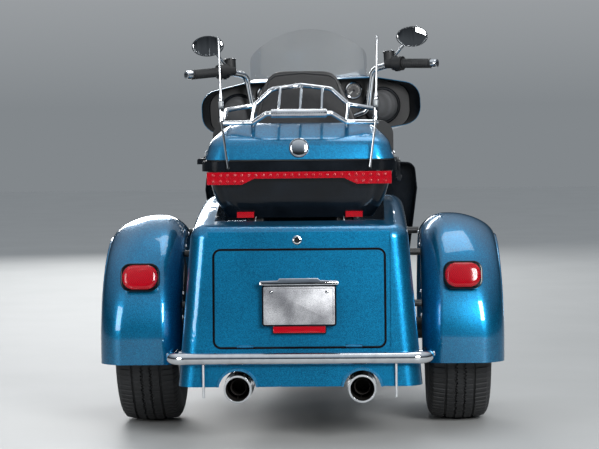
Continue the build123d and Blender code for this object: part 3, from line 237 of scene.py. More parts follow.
def ground_disc_steel(face):
    """Stainless plate ground in rings about its hub: fine circles that stretch the highlight"""
    face.uniform(Metallic=1.0)
    centre = put(face.tree, "ShaderNodeVectorMath", {0: face.place}, {1: FRONT_HUB}, operation="SUBTRACT")
    far = put(face.tree, "ShaderNodeVectorMath", {0: centre.outputs[0]}, operation="LENGTH")
    # Grinding lines of 0.1 mm are drawn 1.5 mm apart
    rings = put(face.tree, "ShaderNodeMath", {0: far.outputs["Value"]}, {1: 4200.0}, operation="MULTIPLY")
    wave = put(face.tree, "ShaderNodeMath", {0: rings.outputs[0]}, operation="SINE").outputs[0]
    face.colour(wave, (0.0, "#8f9296"), (1.0, "#b9bcc0"))
    face.dull(wave, 0.22, 0.38)
    face.relief(wave, 0.2, 0.0002)


def moulded_tyre_rubber(skin):
    """Carbon-black rubber cured in a mould: deep matt black, greyed by road dust"""
    skin.uniform(IOR=1.52)
    dust = skin.noise(16, 8, 0.6)
    skin.colour(dust, (0.3, "#141516"), (0.62, "#202123"), (0.85, "#34342f"))
    skin.dull(dust, 0.6, 0.85)
    skin.relief(skin.noise(700, 3), 0.25, 0.0004)


def grained_vinyl(skin):
    """Expanded vinyl pressed with a leather grain: soft black sheen that breaks up in fine creases"""
    skin.uniform(IOR=1.5, Sheen_Weight=0.12, Sheen_Roughness=0.5)
    crease_and_shade = skin.noise(60, 5)
    # The colour darkens with the low parts of the creases: painted shade in them.
    skin.colour(crease_and_shade, (0.3, "#09090a"), (0.75, "#161618"))
    skin.dull(crease_and_shade, 0.38, 0.55)
    # Leather cells of 1.2 mm are drawn 2.6 mm wide
    grain = skin.relief(skin.cells(380, feature="DISTANCE_TO_EDGE")["Distance"], 0.5, 0.0006)
    skin.relief(crease_and_shade, 0.15, 0.002, under=grain)


def red_acrylic_lens(lens):
    """Red acrylic moulded with rows of prisms inside: a glossy face over a grid that catches light"""
    # The faint emission is lamp light on the lamps' lenses, and a painted glow on the plate reflector, which
    # is no lamp.
    lens.uniform(Roughness=0.1, IOR=1.49, Transmission_Weight=0.05, Coat_Weight=0.1, Coat_Roughness=0.02,
                 Emission_Strength=0.05, Emission_Color=linear("#e00016"))
    # Prisms of 3 mm; the bright squares of the checker are painted glints where the prisms catch light
    prism_and_glint = put(lens.tree, "ShaderNodeTexChecker", {"Vector": lens.place}, {"Scale": 330.0}).outputs["Fac"]
    lens.colour(prism_and_glint, (0.0, "#5c0006"), (1.0, "#b40018"))
    lens.relief(prism_and_glint, 0.5, 0.001)


def clear_shield_sheet(sheet):
    """Formed polycarbonate sheet: clear with a slight smoke and a patchy film of dust"""
    sheet.uniform(IOR=1.58, Transmission_Weight=1.0, Alpha=0.14)
    film = sheet.noise(12, 6)
    sheet.colour(film, (0.3, "#dfe7ea"), (0.8, "#f6f8f9"))
    sheet.dull(film, 0.01, 0.06)


def silvered_mirror_glass(glass):
    """Silvered glass: a true mirror with the faintest ripple"""
    glass.uniform(Metallic=1.0, Roughness=0.01)
    glass.colour(glass.noise(5, 1), (0.3, "#dcdfe2"), (0.7, "#eceef0"))


def drawn_stainless_rod(rod):
    """Stainless rod drawn through a die: bright grey with faint lines along its length"""
    rod.uniform(Metallic=1.0)
    # Die lines of 0.05 mm are drawn 1.5 mm apart, and long
    long = put(rod.tree, "ShaderNodeMapping", {"Vector": rod.place}, {"Scale": (650.0, 650.0, 12.0)})
    lines = rod.noise(1, 2, place=long.outputs[0])
    rod.colour(lines, (0.3, "#a9acaf"), (0.7, "#d9dcdf"))
    rod.dull(lines, 0.2, 0.4)


def silver_sheeting(sheet):
    """Reflective sheeting rolled on an aluminium blank: pale silver grey with a faint honeycomb"""
    sheet.uniform(Metallic=0.45, Coat_Weight=0.5)
    sheet.colour(sheet.noise(13, 5), (0.35, "#77787c"), (0.7, "#b9babd"))
    # Cells of 3 mm
    edge = sheet.cells(330, feature="DISTANCE_TO_EDGE")["Distance"]
    sheet.dull(edge, 0.25, 0.42)
    sheet.relief(edge, 0.15, 0.0003)


def sooted_steel(pipe):
    """Bare steel inside a pipe, sooted by exhaust: dull brown black in uneven patches"""
    pipe.uniform(Metallic=0.6)
    soot = pipe.noise(45, 8)
    pipe.colour(soot, (0.3, "#0b0a09"), (0.7, "#2c2825"))
    pipe.dull(soot, 0.5, 0.85)
    pipe.relief(soot, 0.5, 0.001)


def enamel_dial(dial):
    """Printed enamel dial: matt near-black with a fine turned grain"""
    dial.uniform(Roughness=0.4, IOR=1.5, Coat_Weight=0.8, Coat_Roughness=0.02)
    dial.colour(dial.noise(300, 3), (0.3, "#0a0b0d"), (0.7, "#15171a"))


def printed_white(ink):
    """Screen-printed white ink: opaque, slightly uneven at its edges"""
    ink.uniform(Roughness=0.5, IOR=1.5)
    ink.colour(ink.noise(400), (0.3, "#cfd0ce"), (0.7, "#eeeeec"))


def perforated_grille(sheet):
    """Steel sheet punched with small holes and painted black: a dark field of round dots"""
    sheet.uniform(Metallic=0.3, Roughness=0.45)
    # Holes of 1.5 mm are drawn 4 mm apart, so that they show
    holes = sheet.cells(250, randomness=0.0)["Distance"]
    sheet.colour(holes, (0.25, "#020202"), (0.38, "#2b2d30"))
    sheet.relief(holes, 0.8, 0.001)


def lens_polycarbonate(lens):
    """Clear moulded polycarbonate cover: nearly invisible but for its gloss and its fluted inside"""
    lens.uniform(Roughness=0.03, IOR=1.58, Transmission_Weight=1.0, Alpha=0.45)
    flute = put(lens.tree, "ShaderNodeTexWave", {"Vector": lens.place}, {"Scale": 40.0}, bands_direction="X")
    lens.colour(flute.outputs["Fac"], (0.0, "#e6eaec"), (1.0, "#fafbfb"))
    lens.relief(flute.outputs["Fac"], 0.25, 0.001)


def ribbed_grip_rubber(skin):
    """Ribbed grip rubber, moulded and lightly worn: dull black, paler in patches"""
    skin.uniform(IOR=1.52)
    wear = skin.noise(90, 5)
    skin.colour(wear, (0.3, "#101112"), (0.75, "#242526"))
    skin.dull(wear, 0.5, 0.72)


def studio_floor_paint(floor):
    """Matt floor paint on a smooth slab: pale grey with barely visible roller marks"""
    floor.uniform(Roughness=0.6)
    colours = bpy.context.scene.trike_colours
    floor.colour(floor.noise(2, 4), (0.3, colours.floor_marks), (0.7, colours.floor))


FINISHES = {
    teal_metallic_lacquer: [
        "fuel_tank", "rear_fender_left", "rear_fender_right", "front_fender", "side_covers", "trunk_shell",
        "trunk_rear_panel", "trunk_door", "top_case_lid"],
    # The top case's tub is teal paint in shadow, so the black gloss on it is painted shade.
    black_gloss_and_painted_shade: ["fairing_shell", "lower_fairings", "top_case_tub", "tail_lamps", "plate_holder"],
    black_grained_plastic: ["controls", "footboards", "trunk_liner", "fairing_dash", "speaker_pods"],
    powder_coated_steel: ["frame", "rear_axle", "drive_shaft", "shock_absorbers", "fork", "top_case_carrier",
                          "front_brakes"],
    polished_chrome: ["exhaust_left", "exhaust_right", "exhaust_pipes", "luggage_rack", "rear_bumper",
                      "engine_guard", "handlebar", "mirrors", "air_cleaner", "front_lamps", "antennas"],
    cast_aluminium: ["engine_case", "engine_cylinders", "front_rim", "rear_rim_left", "rear_rim_right"],
    ground_disc_steel: ["front_discs"],
    moulded_tyre_rubber: ["front_tyre", "rear_tyre_left", "rear_tyre_right"],
    grained_vinyl: ["seat", "backrest_pad"],
    red_acrylic_lens: ["top_case_lamp"],
    clear_shield_sheet: ["windshield"],
    silvered_mirror_glass: ["mirror_glasses"],
}
SHARP_NODES = {"engine_cylinders", "luggage_rack", "frame", "mirror_glasses", "windshield"}


def finish_node(node, made, edge):
    """Gives a carried-over node its material, and rounds its edges slightly so that they catch light"""
    for slot in node.material_slots:
        slot.link = "OBJECT"
        slot.material = made
    for face in node.data.polygons:
        face.use_smooth = True
    custom = node.data.attributes.get("custom_normal")
    if custom:
        node.data.attributes.remove(custom)
    weld = node.modifiers.new("weld", "WELD")
    weld.merge_threshold = mm(0.02)
    if edge:
        round_over = node.modifiers.new("edge", "BEVEL")
        round_over.width = edge
        round_over.segments = 2
        round_over.limit_method = "ANGLE"
        round_over.angle_limit = radians(32)
        round_over.use_clamp_overlap = True
    even = node.modifiers.new("even", "WEIGHTED_NORMAL")
    even.weight = 60


# Mesh helpers: outlines and radii are in millimetres and points in metres, and a heap becomes one piece

STEER = (Matrix.Translation(STEER_POINT) @ Matrix.Rotation(STEER_TURN, 4, STEER_AXIS)
         @ Matrix.Translation(-STEER_POINT))


def seat_at(origin, x_dir=(1, 0, 0), z_dir=(0, -1, 0)):
    """A placing matrix from an origin, the way of its X and the way of its Z"""
    across, out = Vector(x_dir).normalized(), Vector(z_dir).normalized()
    return Matrix.Translation(origin) @ Matrix((across, out.cross(across), out)).transposed().to_4x4()


def moved(place, x, y, z):
    """A placing matrix moved along its own axes"""
    return place @ Matrix.Translation((mm(x), mm(y), mm(z)))


def spun(place, angle):
    """A placing matrix turned about its own Z"""
    return place @ Matrix.Rotation(angle, 4, "Z")


def rounded(width, height, radius, steps=6):
    """The outline of a rounded rectangle, anticlockwise about its middle"""
    points = []
    for quarter, (sx, sy) in enumerate(((1, 1), (-1, 1), (-1, -1), (1, -1))):
        for k in range(steps + 1):
            angle = pi / 2 * (quarter + k / steps)
            x, y = sx * (width / 2 - radius), sy * (height / 2 - radius)
            points.append((x + radius * cos(angle), y + radius * sin(angle)))
    return points


def ring(radius, count):
    """The outline of a circle"""
    return [(radius * cos(2 * pi * k / count), radius * sin(2 * pi * k / count)) for k in range(count)]


def shrunk(outline, inset):
    """An anticlockwise outline drawn in by a distance"""
    drawn = []
    for k, (x, y) in enumerate(outline):
        run = Vector(outline[(k + 1) % len(outline)]) - Vector(outline[k - 1])
        run.normalize()
        drawn.append((x - run.y * inset, y + run.x * inset))
    return drawn


def filleted(corners, steps=6):
    """An anticlockwise outline through rows of x, y and radius, each corner rounded"""
    points = []
    for k, (x, y, radius) in enumerate(corners):
        here = Vector((x, y))
        back = (Vector(corners[k - 1][:2]) - here).normalized()
        ahead = (Vector(corners[(k + 1) % len(corners)][:2]) - here).normalized()
        half = back.angle(ahead) / 2
        middle = here + (back + ahead).normalized() * radius / sin(half)
        reach = here + back * radius / tan(half) - middle
        turn = (pi - 2 * half) * (1 if back.cross(ahead) < 0 else -1)
        points += [tuple(middle + Matrix.Rotation(turn * j / steps, 2) @ reach) for j in range(steps + 1)]
    return points


def between(a, b, share):
    """A row of numbers part of the way from one row to another"""
    return tuple(u + (v - u) * share for u, v in zip(a, b))


def softened(rows, share=0.3, steps=5):
    """Rows of numbers along a bent line, with each bend eased"""
    path = [rows[0]]
    for a, b, c in zip(rows, rows[1:], rows[2:]):
        start, end = between(b, a, share), between(b, c, share)
        for j in range(steps + 1):
            t = j / steps
            path.append(between(between(start, b, t), between(b, end, t), t))
    return path + [rows[-1]]


def add_rings(heap, rings, cap=True):
    """Joins closed rows of points into a skin"""
    rows = [[heap.verts.new(point) for point in row] for row in rings]
    count = len(rows[0])
    for low, high in zip(rows, rows[1:]):
        for k in range(count):
            heap.faces.new((low[k], low[(k + 1) % count], high[(k + 1) % count], high[k]))
    if cap:
        heap.faces.new(rows[0][::-1])
        heap.faces.new(rows[-1])
    return rows


def placed(outline, place, levels):
    """An outline's points in metres at each row of inset and height"""
    return [[place @ Vector((mm(x), mm(y), mm(z))) for x, y in shrunk(outline, inset)] for inset, z in levels]


def add_band(heap, outline, place, levels):
    """An open band along an outline, through rows of inset and height"""
    add_rings(heap, placed(outline, place, levels), cap=False)


def add_slab(heap, outline, depth, place, edge=0.0):
    """A plate on an outline, rising along Z with its upper edge rounded"""
    turns = (0, pi / 6, pi / 3, pi / 2) if edge else (pi / 2,)
    levels = [(0, 0)] + [(edge * (1 - cos(t)), depth - edge + edge * sin(t)) for t in turns]
    add_rings(heap, placed(outline, place, levels))


def add_dome(heap, outline, rise, place, steps, power=2.0, sides=(0,), blunt=0.35):
    """A lens on an outline: its sides pass through rows of height, then it swells to its middle"""
    rows = [(1, z) for z in sides[:-1]]
    for k in range(steps + 1):
        share = 1 - k / (steps + blunt)
        rows.append((share, sides[-1] + rise * (1 - share ** power) ** (1 / power)))
    add_rings(heap, [[place @ Vector((mm(x * share), mm(y * share), mm(z))) for x, y in outline]
                     for share, z in rows])


def add_turned(heap, profile, place, count=48):
    """A turned form about Z, from rows of radius and height"""
    add_rings(heap, [[place @ Vector((mm(x), mm(y), mm(z))) for x, y in ring(r, count)] for r, z in profile],
              cap=False)


def add_rod(heap, points, radius, sides=12):
    """A round bar along a path, with flat ends; the radius may be one number or one for each point"""
    points = [Vector(point) for point in points]
    sizes = radius if isinstance(radius, (list, tuple)) else [radius] * len(points)
    up = Vector((0, 0, 1)) if abs((points[1] - points[0]).normalized().z) < 0.9 else Vector((1, 0, 0))
    rings = []
    for k, (point, size) in enumerate(zip(points, sizes)):
        way = (points[min(k + 1, len(points) - 1)] - points[max(k - 1, 0)]).normalized()
        side = way.cross(up).normalized()
        up = side.cross(way).normalized()
        rings.append([point + side * mm(x) + up * mm(y) for x, y in ring(size, sides)])
    add_rings(heap, rings)


def add_bolt(heap, place, size):
    """A domed bolt head with its washer, standing on the place's Z"""
    rows = [(0, 0), (1.35, 0), (1.35, 0.22), (1.0, 0.24), (1.0, 0.55), (0.82, 0.78), (0.45, 0.86),
            (0.4, 0.62), (0, 0.62)]
    add_turned(heap, [(size * r, size * z) for r, z in rows], place, 18)


def eased(points, count=8):
    """A smooth path through points"""
    path = []
    for k in range(len(points) - 1):
        a, b, c, d = points[max(k - 1, 0)], points[k], points[k + 1], points[min(k + 2, len(points) - 1)]
        for j in range(count):
            t = j / count
            bend = (2 * a - 5 * b + 4 * c - d) * t * t + (3 * b - a - 3 * c + d) * t ** 3
            path.append(0.5 * (2 * b + (c - a) * t + bend))
    return path + [points[-1]]


def show(heap, name, maker, body):
    """Turns a heap into a piece that rides on a body, with its finish"""
    bmesh.ops.remove_doubles(heap, verts=heap.verts, dist=1e-6)
    bmesh.ops.recalc_face_normals(heap, faces=heap.faces)
    mesh = bpy.data.meshes.new(name)
    heap.to_mesh(mesh)
    heap.free()
    if body in ("steering", "front_wheel"):
        mesh.transform(STEER)
    mesh.materials.append(material(maker))
    mesh.shade_smooth()
    mesh.set_sharp_from_angle(angle=radians(34))
    piece = bpy.data.objects.new(name, mesh)
    bpy.context.scene.collection.objects.link(piece)
    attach(piece, body)
    return piece


def carried(node, name, body, wanted):
    """Keeps some faces of a replaced node as they are, such as its knuckles or stubs"""
    heap = bmesh.new()
    heap.from_mesh(nodes[node].data)
    spare = [face for face in heap.faces if not any(wanted(vertex.co) for vertex in face.verts)]
    bmesh.ops.delete(heap, geom=spare, context="FACES")
    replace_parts(show(heap, name, powder_coated_steel, body), node)


# The sizes and colours that a user would change


class TrikeSizes(bpy.types.PropertyGroup):
    """Sizes of the drawn detail"""
    edge: bpy.props.FloatProperty(
        name="Edge rounding", description="Radius that catches light on moulded edges", default=0.0012,
        unit="LENGTH", subtype="DISTANCE")
    tread_pitches: bpy.props.IntProperty(
        name="Tread pitches", description="Blocks round each tyre", default=88, min=24, max=140)
    floor_size: bpy.props.FloatProperty(
        name="Floor", description="Side of the studio floor", default=40.0, unit="LENGTH", subtype="DISTANCE")


class TrikeColours(bpy.types.PropertyGroup):
    """Colours of the studio"""
    floor: bpy.props.FloatVectorProperty(
        name="Floor", description="Paint of the studio floor", default=linear("#a9aaa9")[:3], subtype="COLOR",
        min=0.0, max=1.0)
    floor_marks: bpy.props.FloatVectorProperty(
        name="Roller marks", description="Darker marks in the paint", default=linear("#a4a5a4")[:3],
        subtype="COLOR", min=0.0, max=1.0)


class TRIKE_OT_finishes(bpy.types.Operator):
    """Gives every carried-over piece its finish"""
    bl_idname = "trike.finishes"
    bl_label = "Finishes"

    def execute(self, context):
        edge = context.scene.trike_sizes.edge
        for maker, names in FINISHES.items():
            for name in names:
                finish_node(nodes[name], material(maker), 0 if name in SHARP_NODES else edge)
        return {"FINISHED"}


# Across the tread: distance from the middle, depth and whether it follows the zigzag, in mm
REAR_TREAD = [
    (0, 0, 0), (10.5, 0, 1), (11.5, 7, 1), (18.5, 7, 1), (19.5, 0, 1), (32, 0, 0), (44.5, 0, 0), (45.5, 7, 0),
    (52.5, 7, 0), (53.5, 0, 0), (66, 0, 0), (80, 0, 0), (92, 0, 0),
]
FRONT_TREAD = [
    (0, 0, 0), (8, 0, 1), (9, 5, 1), (14, 5, 1), (15, 0, 1), (26, 0, 0), (31, 0, 0), (32, 5, 0), (37, 5, 0),
    (38, 0, 0), (48, 0, 0), (55, 0, 0),
]
FRONT_HUB = (0.0, 1.015, 0.32)
# Tyres: each row gives the node, its body, the hub, outer radius, width, rim radius in metres, and the tread
TYRES = [
    (f"rear_tyre_{hand}", f"rear_wheel_{hand}", (side * 0.546, REAR_AXLE, mm(HUB_HEIGHT)), 0.324, 0.215,
     0.1905, REAR_TREAD) for hand, side in SIDES
] + [("front_tyre", "front_wheel", FRONT_HUB, 0.320, 0.130, 0.203, FRONT_TREAD)]
# Round the tyre each pitch has a raised block, then a sipe: share of the pitch and whether it is cut
PITCH_ROWS = [(0.0, 0), (0.42, 0), (0.50, 0), (0.58, 1), (0.86, 1), (0.94, 0)]
ZIGZAG, SHOULDER_SIPE, TREAD_SIPE, WALL_SIPE = mm(3.2), mm(3.5), mm(1.6), mm(2.5)


def arc_through(a, b, c, count):
    """Points on the circle through three points, from the first to the last"""
    (ax, ay), (bx, by), (cx, cy) = a, b, c
    d = 2 * (ax * (by - cy) + bx * (cy - ay) + cx * (ay - by))
    aa, bb, cc = ax * ax + ay * ay, bx * bx + by * by, cx * cx + cy * cy
    ux = (aa * (by - cy) + bb * (cy - ay) + cc * (ay - by)) / d
    uy = (aa * (cx - bx) + bb * (ax - cx) + cc * (bx - ax)) / d
    start, end = atan2(ay - uy, ax - ux), atan2(cy - uy, cx - ux)
    turn = (end - start + pi) % (2 * pi) - pi
    radius = Vector((ax - ux, ay - uy)).length
    angles = [start + turn * k / count for k in range(count + 1)]
    return [(ux + radius * cos(angle), uy + radius * sin(angle)) for angle in angles]


def make_tyre(row, pitches):
    """A tyre with its grooves, sipes and side walls, in place of the plain one"""
    node, body, hub, radius, width, rim, table = row
    half, tread, bead = width / 2, width * 0.44, width * 0.38
    shoulder = radius - mm(12)
    middle = (rim + shoulder) / 2 - mm(8)
    sag = (radius - shoulder) / tread ** 2
    across = [(-x, depth, zig) for x, depth, zig in reversed(table[1:])] + table
    wall = arc_through((tread, shoulder), (half, middle), (bead, rim + mm(10)), 9)[1:]
    inner = [(bead, rim), (bead - mm(12), rim), (half - mm(14), middle), (tread - mm(14), shoulder - mm(14))]
    rings = []
    for pitch in range(pitches):
        for share, cut in PITCH_ROWS:
            angle = 2 * pi * (pitch + share) / pitches
            zig = ZIGZAG * (2 * abs((share * 2 + pitch) % 2 - 1) - 1)
            line = []
            for x, depth, follows in across:
                place = mm(x) + (zig if follows else 0)
                sipe = 0
                if cut and depth == 0:
                    sipe = SHOULDER_SIPE if abs(x) > table[-4][0] else 0 if follows else TREAD_SIPE
                line.append((place, radius - sag * place * place - mm(depth) - sipe))
            outer = [(x, r - (WALL_SIPE if cut and k < 2 else 0)) for k, (x, r) in enumerate(wall)]
            right = outer + inner
            loop = [(-x, r) for x, r in reversed(right)] + line + right
            rings.append([Vector(hub) + Vector((x, r * cos(angle), r * sin(angle))) for x, r in loop])
    heap = bmesh.new()
    add_rings(heap, rings + rings[:1], cap=False)
    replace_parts(show(heap, node + "_treaded", moulded_tyre_rubber, body), node)


class TRIKE_OT_tyres(bpy.types.Operator):
    """Makes the three tyres with their tread"""
    bl_idname = "trike.tyres"
    bl_label = "Tyres"

    def execute(self, context):
        for row in TYRES:
            make_tyre(row, context.scene.trike_sizes.tread_pitches)
        return {"FINISHED"}


CLOTH_STEPS = 20


def stuffed(piece, cap, held):
    """Lets a mesh swell as cloth over stuffing, held where it rests, and caps how far it moves"""
    scene = bpy.context.scene
    mesh = piece.data
    before = [vertex.co.copy() for vertex in mesh.vertices]
    pins = piece.vertex_groups.new(name="held")
    pins.add([vertex.index for vertex in mesh.vertices if held(vertex.co)], 1.0, "REPLACE")
    cloth = piece.modifiers.new("stuffing", "CLOTH")
    cloth.settings.use_pressure = True
    cloth.settings.uniform_pressure_force = 4.0
    cloth.settings.effector_weights.gravity = 0.0
    cloth.settings.vertex_group_mass = "held"
    cloth.settings.quality = 4
    cloth.point_cache.frame_start, cloth.point_cache.frame_end = 1, CLOTH_STEPS
    for step in range(1, CLOTH_STEPS + 1):
        scene.frame_set(step)
    grown = piece.evaluated_get(bpy.context.evaluated_depsgraph_get()).to_mesh()
    after = [vertex.co.copy() for vertex in grown.vertices]
    piece.modifiers.clear()
    scene.frame_set(1)
    for vertex, old, new in zip(mesh.vertices, before, after):
        step = new - old
        vertex.co = old + step * min(1.0, cap / max(step.length, 1e-9))


def swell(node, name, voxel, shrink, cap, held):
    """Copies a soft solid slightly smaller and lets it swell as a stuffed cushion"""
    mesh = nodes[node].data.copy()
    work = bmesh.new()
    work.from_mesh(mesh)
    bmesh.ops.remove_doubles(work, verts=work.verts, dist=1e-5)
    bmesh.ops.recalc_face_normals(work, faces=work.faces)
    work.to_mesh(mesh)
    work.free()
    mesh.materials.clear()
    piece = bpy.data.objects.new(name, mesh)
    bpy.context.scene.collection.objects.link(piece)
    even = piece.modifiers.new("even", "REMESH")
    even.mode = "VOXEL"
    even.voxel_size = voxel
    piece.data = bpy.data.meshes.new_from_object(piece.evaluated_get(bpy.context.evaluated_depsgraph_get()))
    piece.modifiers.clear()
    mesh = piece.data
    for vertex, normal in [(vertex, vertex.normal.copy()) for vertex in mesh.vertices]:
        vertex.co -= normal * shrink
    stuffed(piece, cap, held)
    mesh.shade_smooth()
    mesh.materials.append(material(grained_vinyl))
    soften = piece.modifiers.new("soften", "SMOOTH")
    soften.factor, soften.iterations = 0.5, 12
    fine = piece.modifiers.new("fine", "SUBSURF")
    fine.levels = fine.render_levels = 1
    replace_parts(piece, node)
    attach(piece, "chassis")
    return piece


class TRIKE_OT_upholstery(bpy.types.Operator):
    """Makes the riders' cushion and the backrest pad as stuffed vinyl, with the pad's piping"""
    bl_idname = "trike.upholstery"
    bl_label = "Upholstery"

    def execute(self, context):
        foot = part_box("seat")[0].z
        low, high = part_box("backrest_pad")
        swell("seat", "riders_cushion", mm(7), mm(5), mm(14), lambda co: co.z < foot + mm(9))
        pad = swell("backrest_pad", "backrest_cushion", mm(6), mm(4), mm(10),
                    lambda co: co.y < low.y + mm(5))
        for vertex in pad.data.vertices:
            rise = max(0.0, (vertex.co.z - low.z) / (high.z - low.z))
            across = min(1.0, abs(vertex.co.x) / high.x)
            vertex.co.z += mm(11) * rise ** 3 * (1 - across * across) - mm(4) * rise ** 3
            vertex.co.x *= 1 + 0.05 * (1 - rise) + 0.03
        pad.data.update()
        context.view_layer.update()
        seam = [(-162, 890, 20), (162, 890, 20), (162, 1082, 60), (118, 1232, 46), (0, 1243, 90),
                (-118, 1232, 46), (-162, 1082, 60)]
        path = []
        for x, z in filleted(seam, 7):
            found, hit, _, _ = pad.ray_cast(Vector((mm(x), -2.0, mm(z))), Vector((0, 1, 0)))
            if found:
                path.append(hit + Vector((0, mm(-0.6), 0)))
        heap = bmesh.new()
        add_rod(heap, path + path[:2], 3.2, 8)
        show(heap, "backrest_piping", grained_vinyl, "chassis")
        return {"FINISHED"}


# Rear fenders in mm: inner and outer flank, crown and skirt from the axle, foot above the ground, and wall
FENDER_INSIDE, FENDER_OUTSIDE, FENDER_RADIUS, FENDER_SKIRT, FENDER_FOOT = 412, 695, 414, 336, 246
FENDER_WALL = 4
FENDER_STEPS = 64
STUB_FACE = 411.6


def crown_corner(width, height, steps=10, power=1.7):
    """Rows of inset and drop along a pressed crown, from the flank to the top"""
    turns = [sin(pi / 2 * j / steps) for j in range(steps + 1)]
    return [(width * (1 - (1 - t ** power) ** (1 / power)), height * (1 - t)) for t in turns]


def fender_profile(lift):
    """The section of a fender, x and distance from the axle: fuller at its foot, narrower over the wheel"""
    lean = 16 * lift
    outer = [(FENDER_OUTSIDE - lean * 0.5, FENDER_SKIRT), (FENDER_OUTSIDE - lean * 0.8, FENDER_SKIRT + 3)]
    for inset, drop in crown_corner(80 + 70 * lift, 75):
        outer.append((FENDER_OUTSIDE - lean - inset, FENDER_RADIUS - drop))
    inner = [(FENDER_INSIDE, FENDER_SKIRT)]
    for inset, drop in crown_corner(70 + 20 * lift, 70):
        inner.append((FENDER_INSIDE + inset, FENDER_RADIUS - drop))
    return inner + outer[::-1]


def walled(profile, wall):
    """A closed loop from a profile and the same profile a wall further in"""
    within = []
    for k, (x, r) in enumerate(profile):
        run = Vector(profile[min(k + 1, len(profile) - 1)]) - Vector(profile[max(k - 1, 0)])
        run.normalize()
        within.append((x + run.y * wall, r - run.x * wall))
    return profile + within[::-1]


class TRIKE_OT_fenders(bpy.types.Operator):
    """Makes the pressed shells of the rear fenders on their stubs"""
    bl_idname = "trike.fenders"
    bl_label = "Rear fenders"

    def execute(self, context):
        # A straight foot, the arch over the wheel and the other foot: angle about the axle and drop
        drops = [FENDER_FOOT - HUB_HEIGHT, (FENDER_FOOT - HUB_HEIGHT) / 2]
        arch = [(pi * step / FENDER_STEPS, 0) for step in range(FENDER_STEPS + 1)]
        rows = [(0, drop) for drop in drops] + arch + [(pi, drop) for drop in reversed(drops)]
        for hand, side in SIDES:
            node = f"rear_fender_{hand}"
            rings = []
            for angle, drop in rows:
                loop = walled(fender_profile(sin(angle) ** 1.6), FENDER_WALL)
                rings.append([spot(side * x, -r * cos(angle), HUB_HEIGHT + r * sin(angle) + drop)
                              for x, r in loop])
            heap = bmesh.new()
            add_rings(heap, rings)
            shell = show(heap, node + "_pressed", teal_metallic_lacquer, "chassis")
            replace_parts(shell, node)
            carried(node, node + "_stubs", "chassis", lambda co: abs(co.x) < mm(411.5))
        return {"FINISHED"}


# The rear face of the trunk: its X runs right, its Y up the face and its Z rearwards
DOOR_FACE = seat_at(spot(0, -635.65, 332), z_dir=(0, -620, 58))
DOOR_RECESS = -5
PLATE_HEIGHT, REFLECTOR_HEIGHT, LOCK_HEIGHT, LOCK_SIDE = 135, 57, 351.5, -6


def on_door(x, y, out):
    """A placing matrix on the door's face"""
    return moved(DOOR_FACE, x, y, out)


# The right tail lamp's face and how far it leans back, and the light bar's face with its two rows of studs
LAMP_FACE, LAMP_LEAN = (552, -381.05, 544), radians(14)
BAR_FACE, BAR_LOW_ROW, BAR_TOP_ROW, STUD_STEP = -503.5, 873, 894, 24


class TRIKE_OT_rear_lamps(bpy.types.Operator):
    """Makes the lenses of the tail lamps and the studs of the light bar"""
    bl_idname = "trike.rear_lamps"
    bl_label = "Rear lamps"

    def execute(self, context):
        bead = [(1.0, -42), (1.0, -1), (0, 0), (-0.5, 3.5), (1.5, 6.0), (4.5, 6.5), (5.8, 4.0), (5.8, 0.2)]
        for hand, side in SIDES:
            face = seat_at(mirrored(spot(*LAMP_FACE), side), z_dir=(0, -cos(LAMP_LEAN), sin(LAMP_LEAN)))
            lens, bezel = bmesh.new(), bmesh.new()
            add_dome(lens, rounded(121, 84, 36, 8), 9, face, 8, 2.6, (-0.5, 6))
            show(lens, f"tail_lens_{hand}", red_acrylic_lens, "chassis")
            add_band(bezel, rounded(133, 96, 32, 8), face, bead)
            show(bezel, f"tail_bezel_{hand}", black_gloss_and_painted_shade, "chassis")
        studs = bmesh.new()
        for step in range(-12, 13):
            for height in (BAR_TOP_ROW,) if abs(step) < 8 else (BAR_LOW_ROW, BAR_TOP_ROW):
                add_dome(studs, ring(6.5, 14), 3.2, seat_at(spot(step * STUD_STEP, BAR_FACE, height)), 4)
        show(studs, "light_bar_optics", red_acrylic_lens, "chassis")
        return {"FINISHED"}


class TRIKE_OT_plate(bpy.types.Operator):
    """Makes the blank plate with its frame, chrome hood and reflector"""
    bl_idname = "trike.plate"
    bl_label = "Plate"

    def execute(self, context):
        heap = bmesh.new()
        add_slab(heap, rounded(236, 126, 6), 1.4, on_door(0, PLATE_HEIGHT, 21.9), 0.5)
        rib = ((0, 0), (0.8, 0.9), (2.0, 0.9), (2.8, 0))
        add_band(heap, rounded(226, 116, 4, 4), on_door(0, PLATE_HEIGHT, 23.2), rib)
        show(heap, "blank_plate", silver_sheeting, "trunk_flap")
        heap = bmesh.new()
        for x in (-92, 92):
            add_bolt(heap, on_door(x, PLATE_HEIGHT + 45, 23.2), 4.2)
        hood = [(-130, 202), (130, 202), (130.5, 213), (126, 216.5), (70, 218), (64, 225), (-64, 225),
                (-70, 218), (-126, 216.5), (-130.5, 213)]
        add_slab(heap, hood, 43.8, on_door(0, 0, DOOR_RECESS - 0.4), 3)
        show(heap, "plate_hood", polished_chrome, "trunk_flap")
        heap = bmesh.new()
        add_slab(heap, rounded(172, 24, 3), 7, on_door(0, REFLECTOR_HEIGHT, 12), 1.5)
        # The reflector takes the lens material with its faint emission: a painted glow, since it is no lamp.
        show(heap, "plate_reflector", red_acrylic_lens, "trunk_flap")
        heap = bmesh.new()
        add_slab(heap, rounded(178, 30, 4), 17.4, on_door(0, REFLECTOR_HEIGHT, DOOR_RECESS - 0.3), 2)
        lip = ((1.5, 17), (0, 18.5), (0, 22), (1.5, 24), (5.5, 24), (5.5, 21))
        add_band(heap, rounded(246, 136, 9, 5), on_door(0, PLATE_HEIGHT, 0), lip)
        show(heap, "plate_frame", black_gloss_and_painted_shade, "trunk_flap")
        return {"FINISHED"}


# Bolts of the fenders: angles about the axle and distance from it; and a tail pipe's mouth on the right
FENDER_BOLT_ANGLES, FENDER_BOLT_REACH = (13, 27, 62, 82), 352
PIPE_MOUTH = (206, -650, 192)


